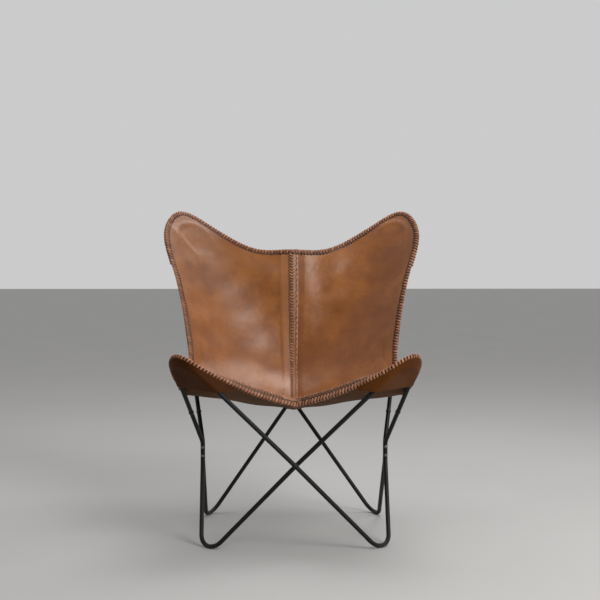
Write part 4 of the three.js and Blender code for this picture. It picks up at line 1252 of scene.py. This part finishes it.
def lace_row(name, points, outwards, pitch, seed, lace, wide_lace=None, layers=0.0):
    layers = np.broadcast_to(layers, len(points))
    line = line_mesh(name, in_metres(points), outwards=outwards, layers=layers)
    loops = [placed("loop", mesh) for mesh in (lace, wide_lace or lace)]
    piece = grown(name, line, LACE_TREE, {"Pitch": pitch / MM, "Lace": loops[0], "Wide lace": loops[1],
                                          "Seed": seed, "Finish": LACE})
    for loop in loops:
        bpy.data.objects.remove(loop)
    print(name, "faces:", len(piece.data.polygons))
    return piece


def sideways(points, normal):
    return unit(np.cross(normal, np.gradient(points, axis=0)))


# %% Lacing round the free edges
LOOP_PITCH = 9.6
POCKET_LAYER = 4.0
NEAR_END = 0.999
EDGE_SEEDS = {"left": 4, "right": 3}
thin_loop, wide_loop = whip_loop(0.0), whip_loop(POCKET_LAYER)
laces = {}
for label, hand in HANDS.items():
    node = f"{label}_edge_lacing"
    across, along, edge, normal = free_edge(hand)
    edge = edge + normal * (BAND_LIFT * smooth(-across, -SEAM_RISE, SEAM_UNDER) * (hand < 0))[:, None]
    in_front = np.where(along <= -NEAR_END, across > HEM_START, -along > POCKETS["front"]["side"])
    in_rear = np.where(along >= NEAR_END, across > POCKETS["rear"]["edge"], along > POCKETS["rear"]["side"])
    layers = ((along < 0) & in_front) | ((along > 0) & in_rear)
    laces[node] = lace_row(node + "_thong", edge, sideways(edge, normal), LOOP_PITCH, EDGE_SEEDS[label],
                           thin_loop, wide_loop, layers)

# %% Lacing of the seam and the hem
SEAM_TOP = LEATHER / 2 + BAND_LIFT
SEAM_POINTS, SEAM_END, SEAM_PITCH, STITCH_PITCH = 420, 0.985, 9.2, 17.0
SEAM_SEED, STITCH_SEED = 5, 6
SEAM_ROWS = {
    "seam_lacing": ("seam_thong", SEAM_LACE, SEAM_PITCH, SEAM_SEED,
                    flat_stitch(length=10.5, slant=5.6, width=4.4, height=1.3, hole=1.9)),
    "seam_stitching": ("seam_stitches", SEAM_STITCH, STITCH_PITCH, STITCH_SEED,
                       flat_stitch(length=1.0, slant=11.0, width=2.8, height=1.0, hole=2.2)),
}
HEM_POINTS, HEM_LACE_START, HEM_LACE_END, HEM_PITCH = 200, 0.05, 0.5, 9.2
HEM_SEEDS = {"left": 8, "right": 7}
for node, (name, share, pitch, seed, stitch) in SEAM_ROWS.items():
    points, normal = sling_places(np.full(SEAM_POINTS, share), np.linspace(-SEAM_END, SEAM_END, SEAM_POINTS))
    laces[node] = lace_row(name, points + normal * SEAM_TOP, sideways(points, normal), pitch, seed, stitch)
hem_stitch = flat_stitch(length=9.5, slant=5.2, width=4.2, height=1.3, hole=1.8)
for label, hand in HANDS.items():
    node = f"front_{label}_hem_lacing"
    across = hand * np.linspace(HEM_LACE_START, HEM_LACE_END, HEM_POINTS)[::-int(hand)]
    points, normal = sling_places(across, np.full(HEM_POINTS, HEM_ROW - 1.0))
    laces[node] = lace_row(node + "_thong", points + normal * LEATHER / 2, sideways(points, normal),
                           HEM_PITCH, HEM_SEEDS[label], hem_stitch)

# %% [markdown]
# Last, each piece is tied to the body that carries it and takes the place of its measured solid.

# %% Tie the pieces to the chair
for made, finish in ((rods, "frame_black"), (welds, "weld_black"), (fasteners, "screw_steel"),
                     (hems, "leather_flesh_side"), (pockets, "leather_tan"), (laces, "lace"),
                     (panels, "leather_tan")):
    for node, piece in made.items():
        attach(piece, "root")
        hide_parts(node)
for place in FRAMES:
    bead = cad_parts[f"{place}_crossing_weld"]
    bead.data.materials.clear()
    bead.data.materials.append(WELD)
for label in HANDS:
    node = f"sling_{label}_panel"
    together = [laces[f"{label}_edge_lacing"], laces[f"front_{label}_hem_lacing"]]
    together += [laces["seam_lacing"], laces["seam_stitching"]] if label == "left" else []
for label in HANDS:
    node = f"front_{label}_hem"
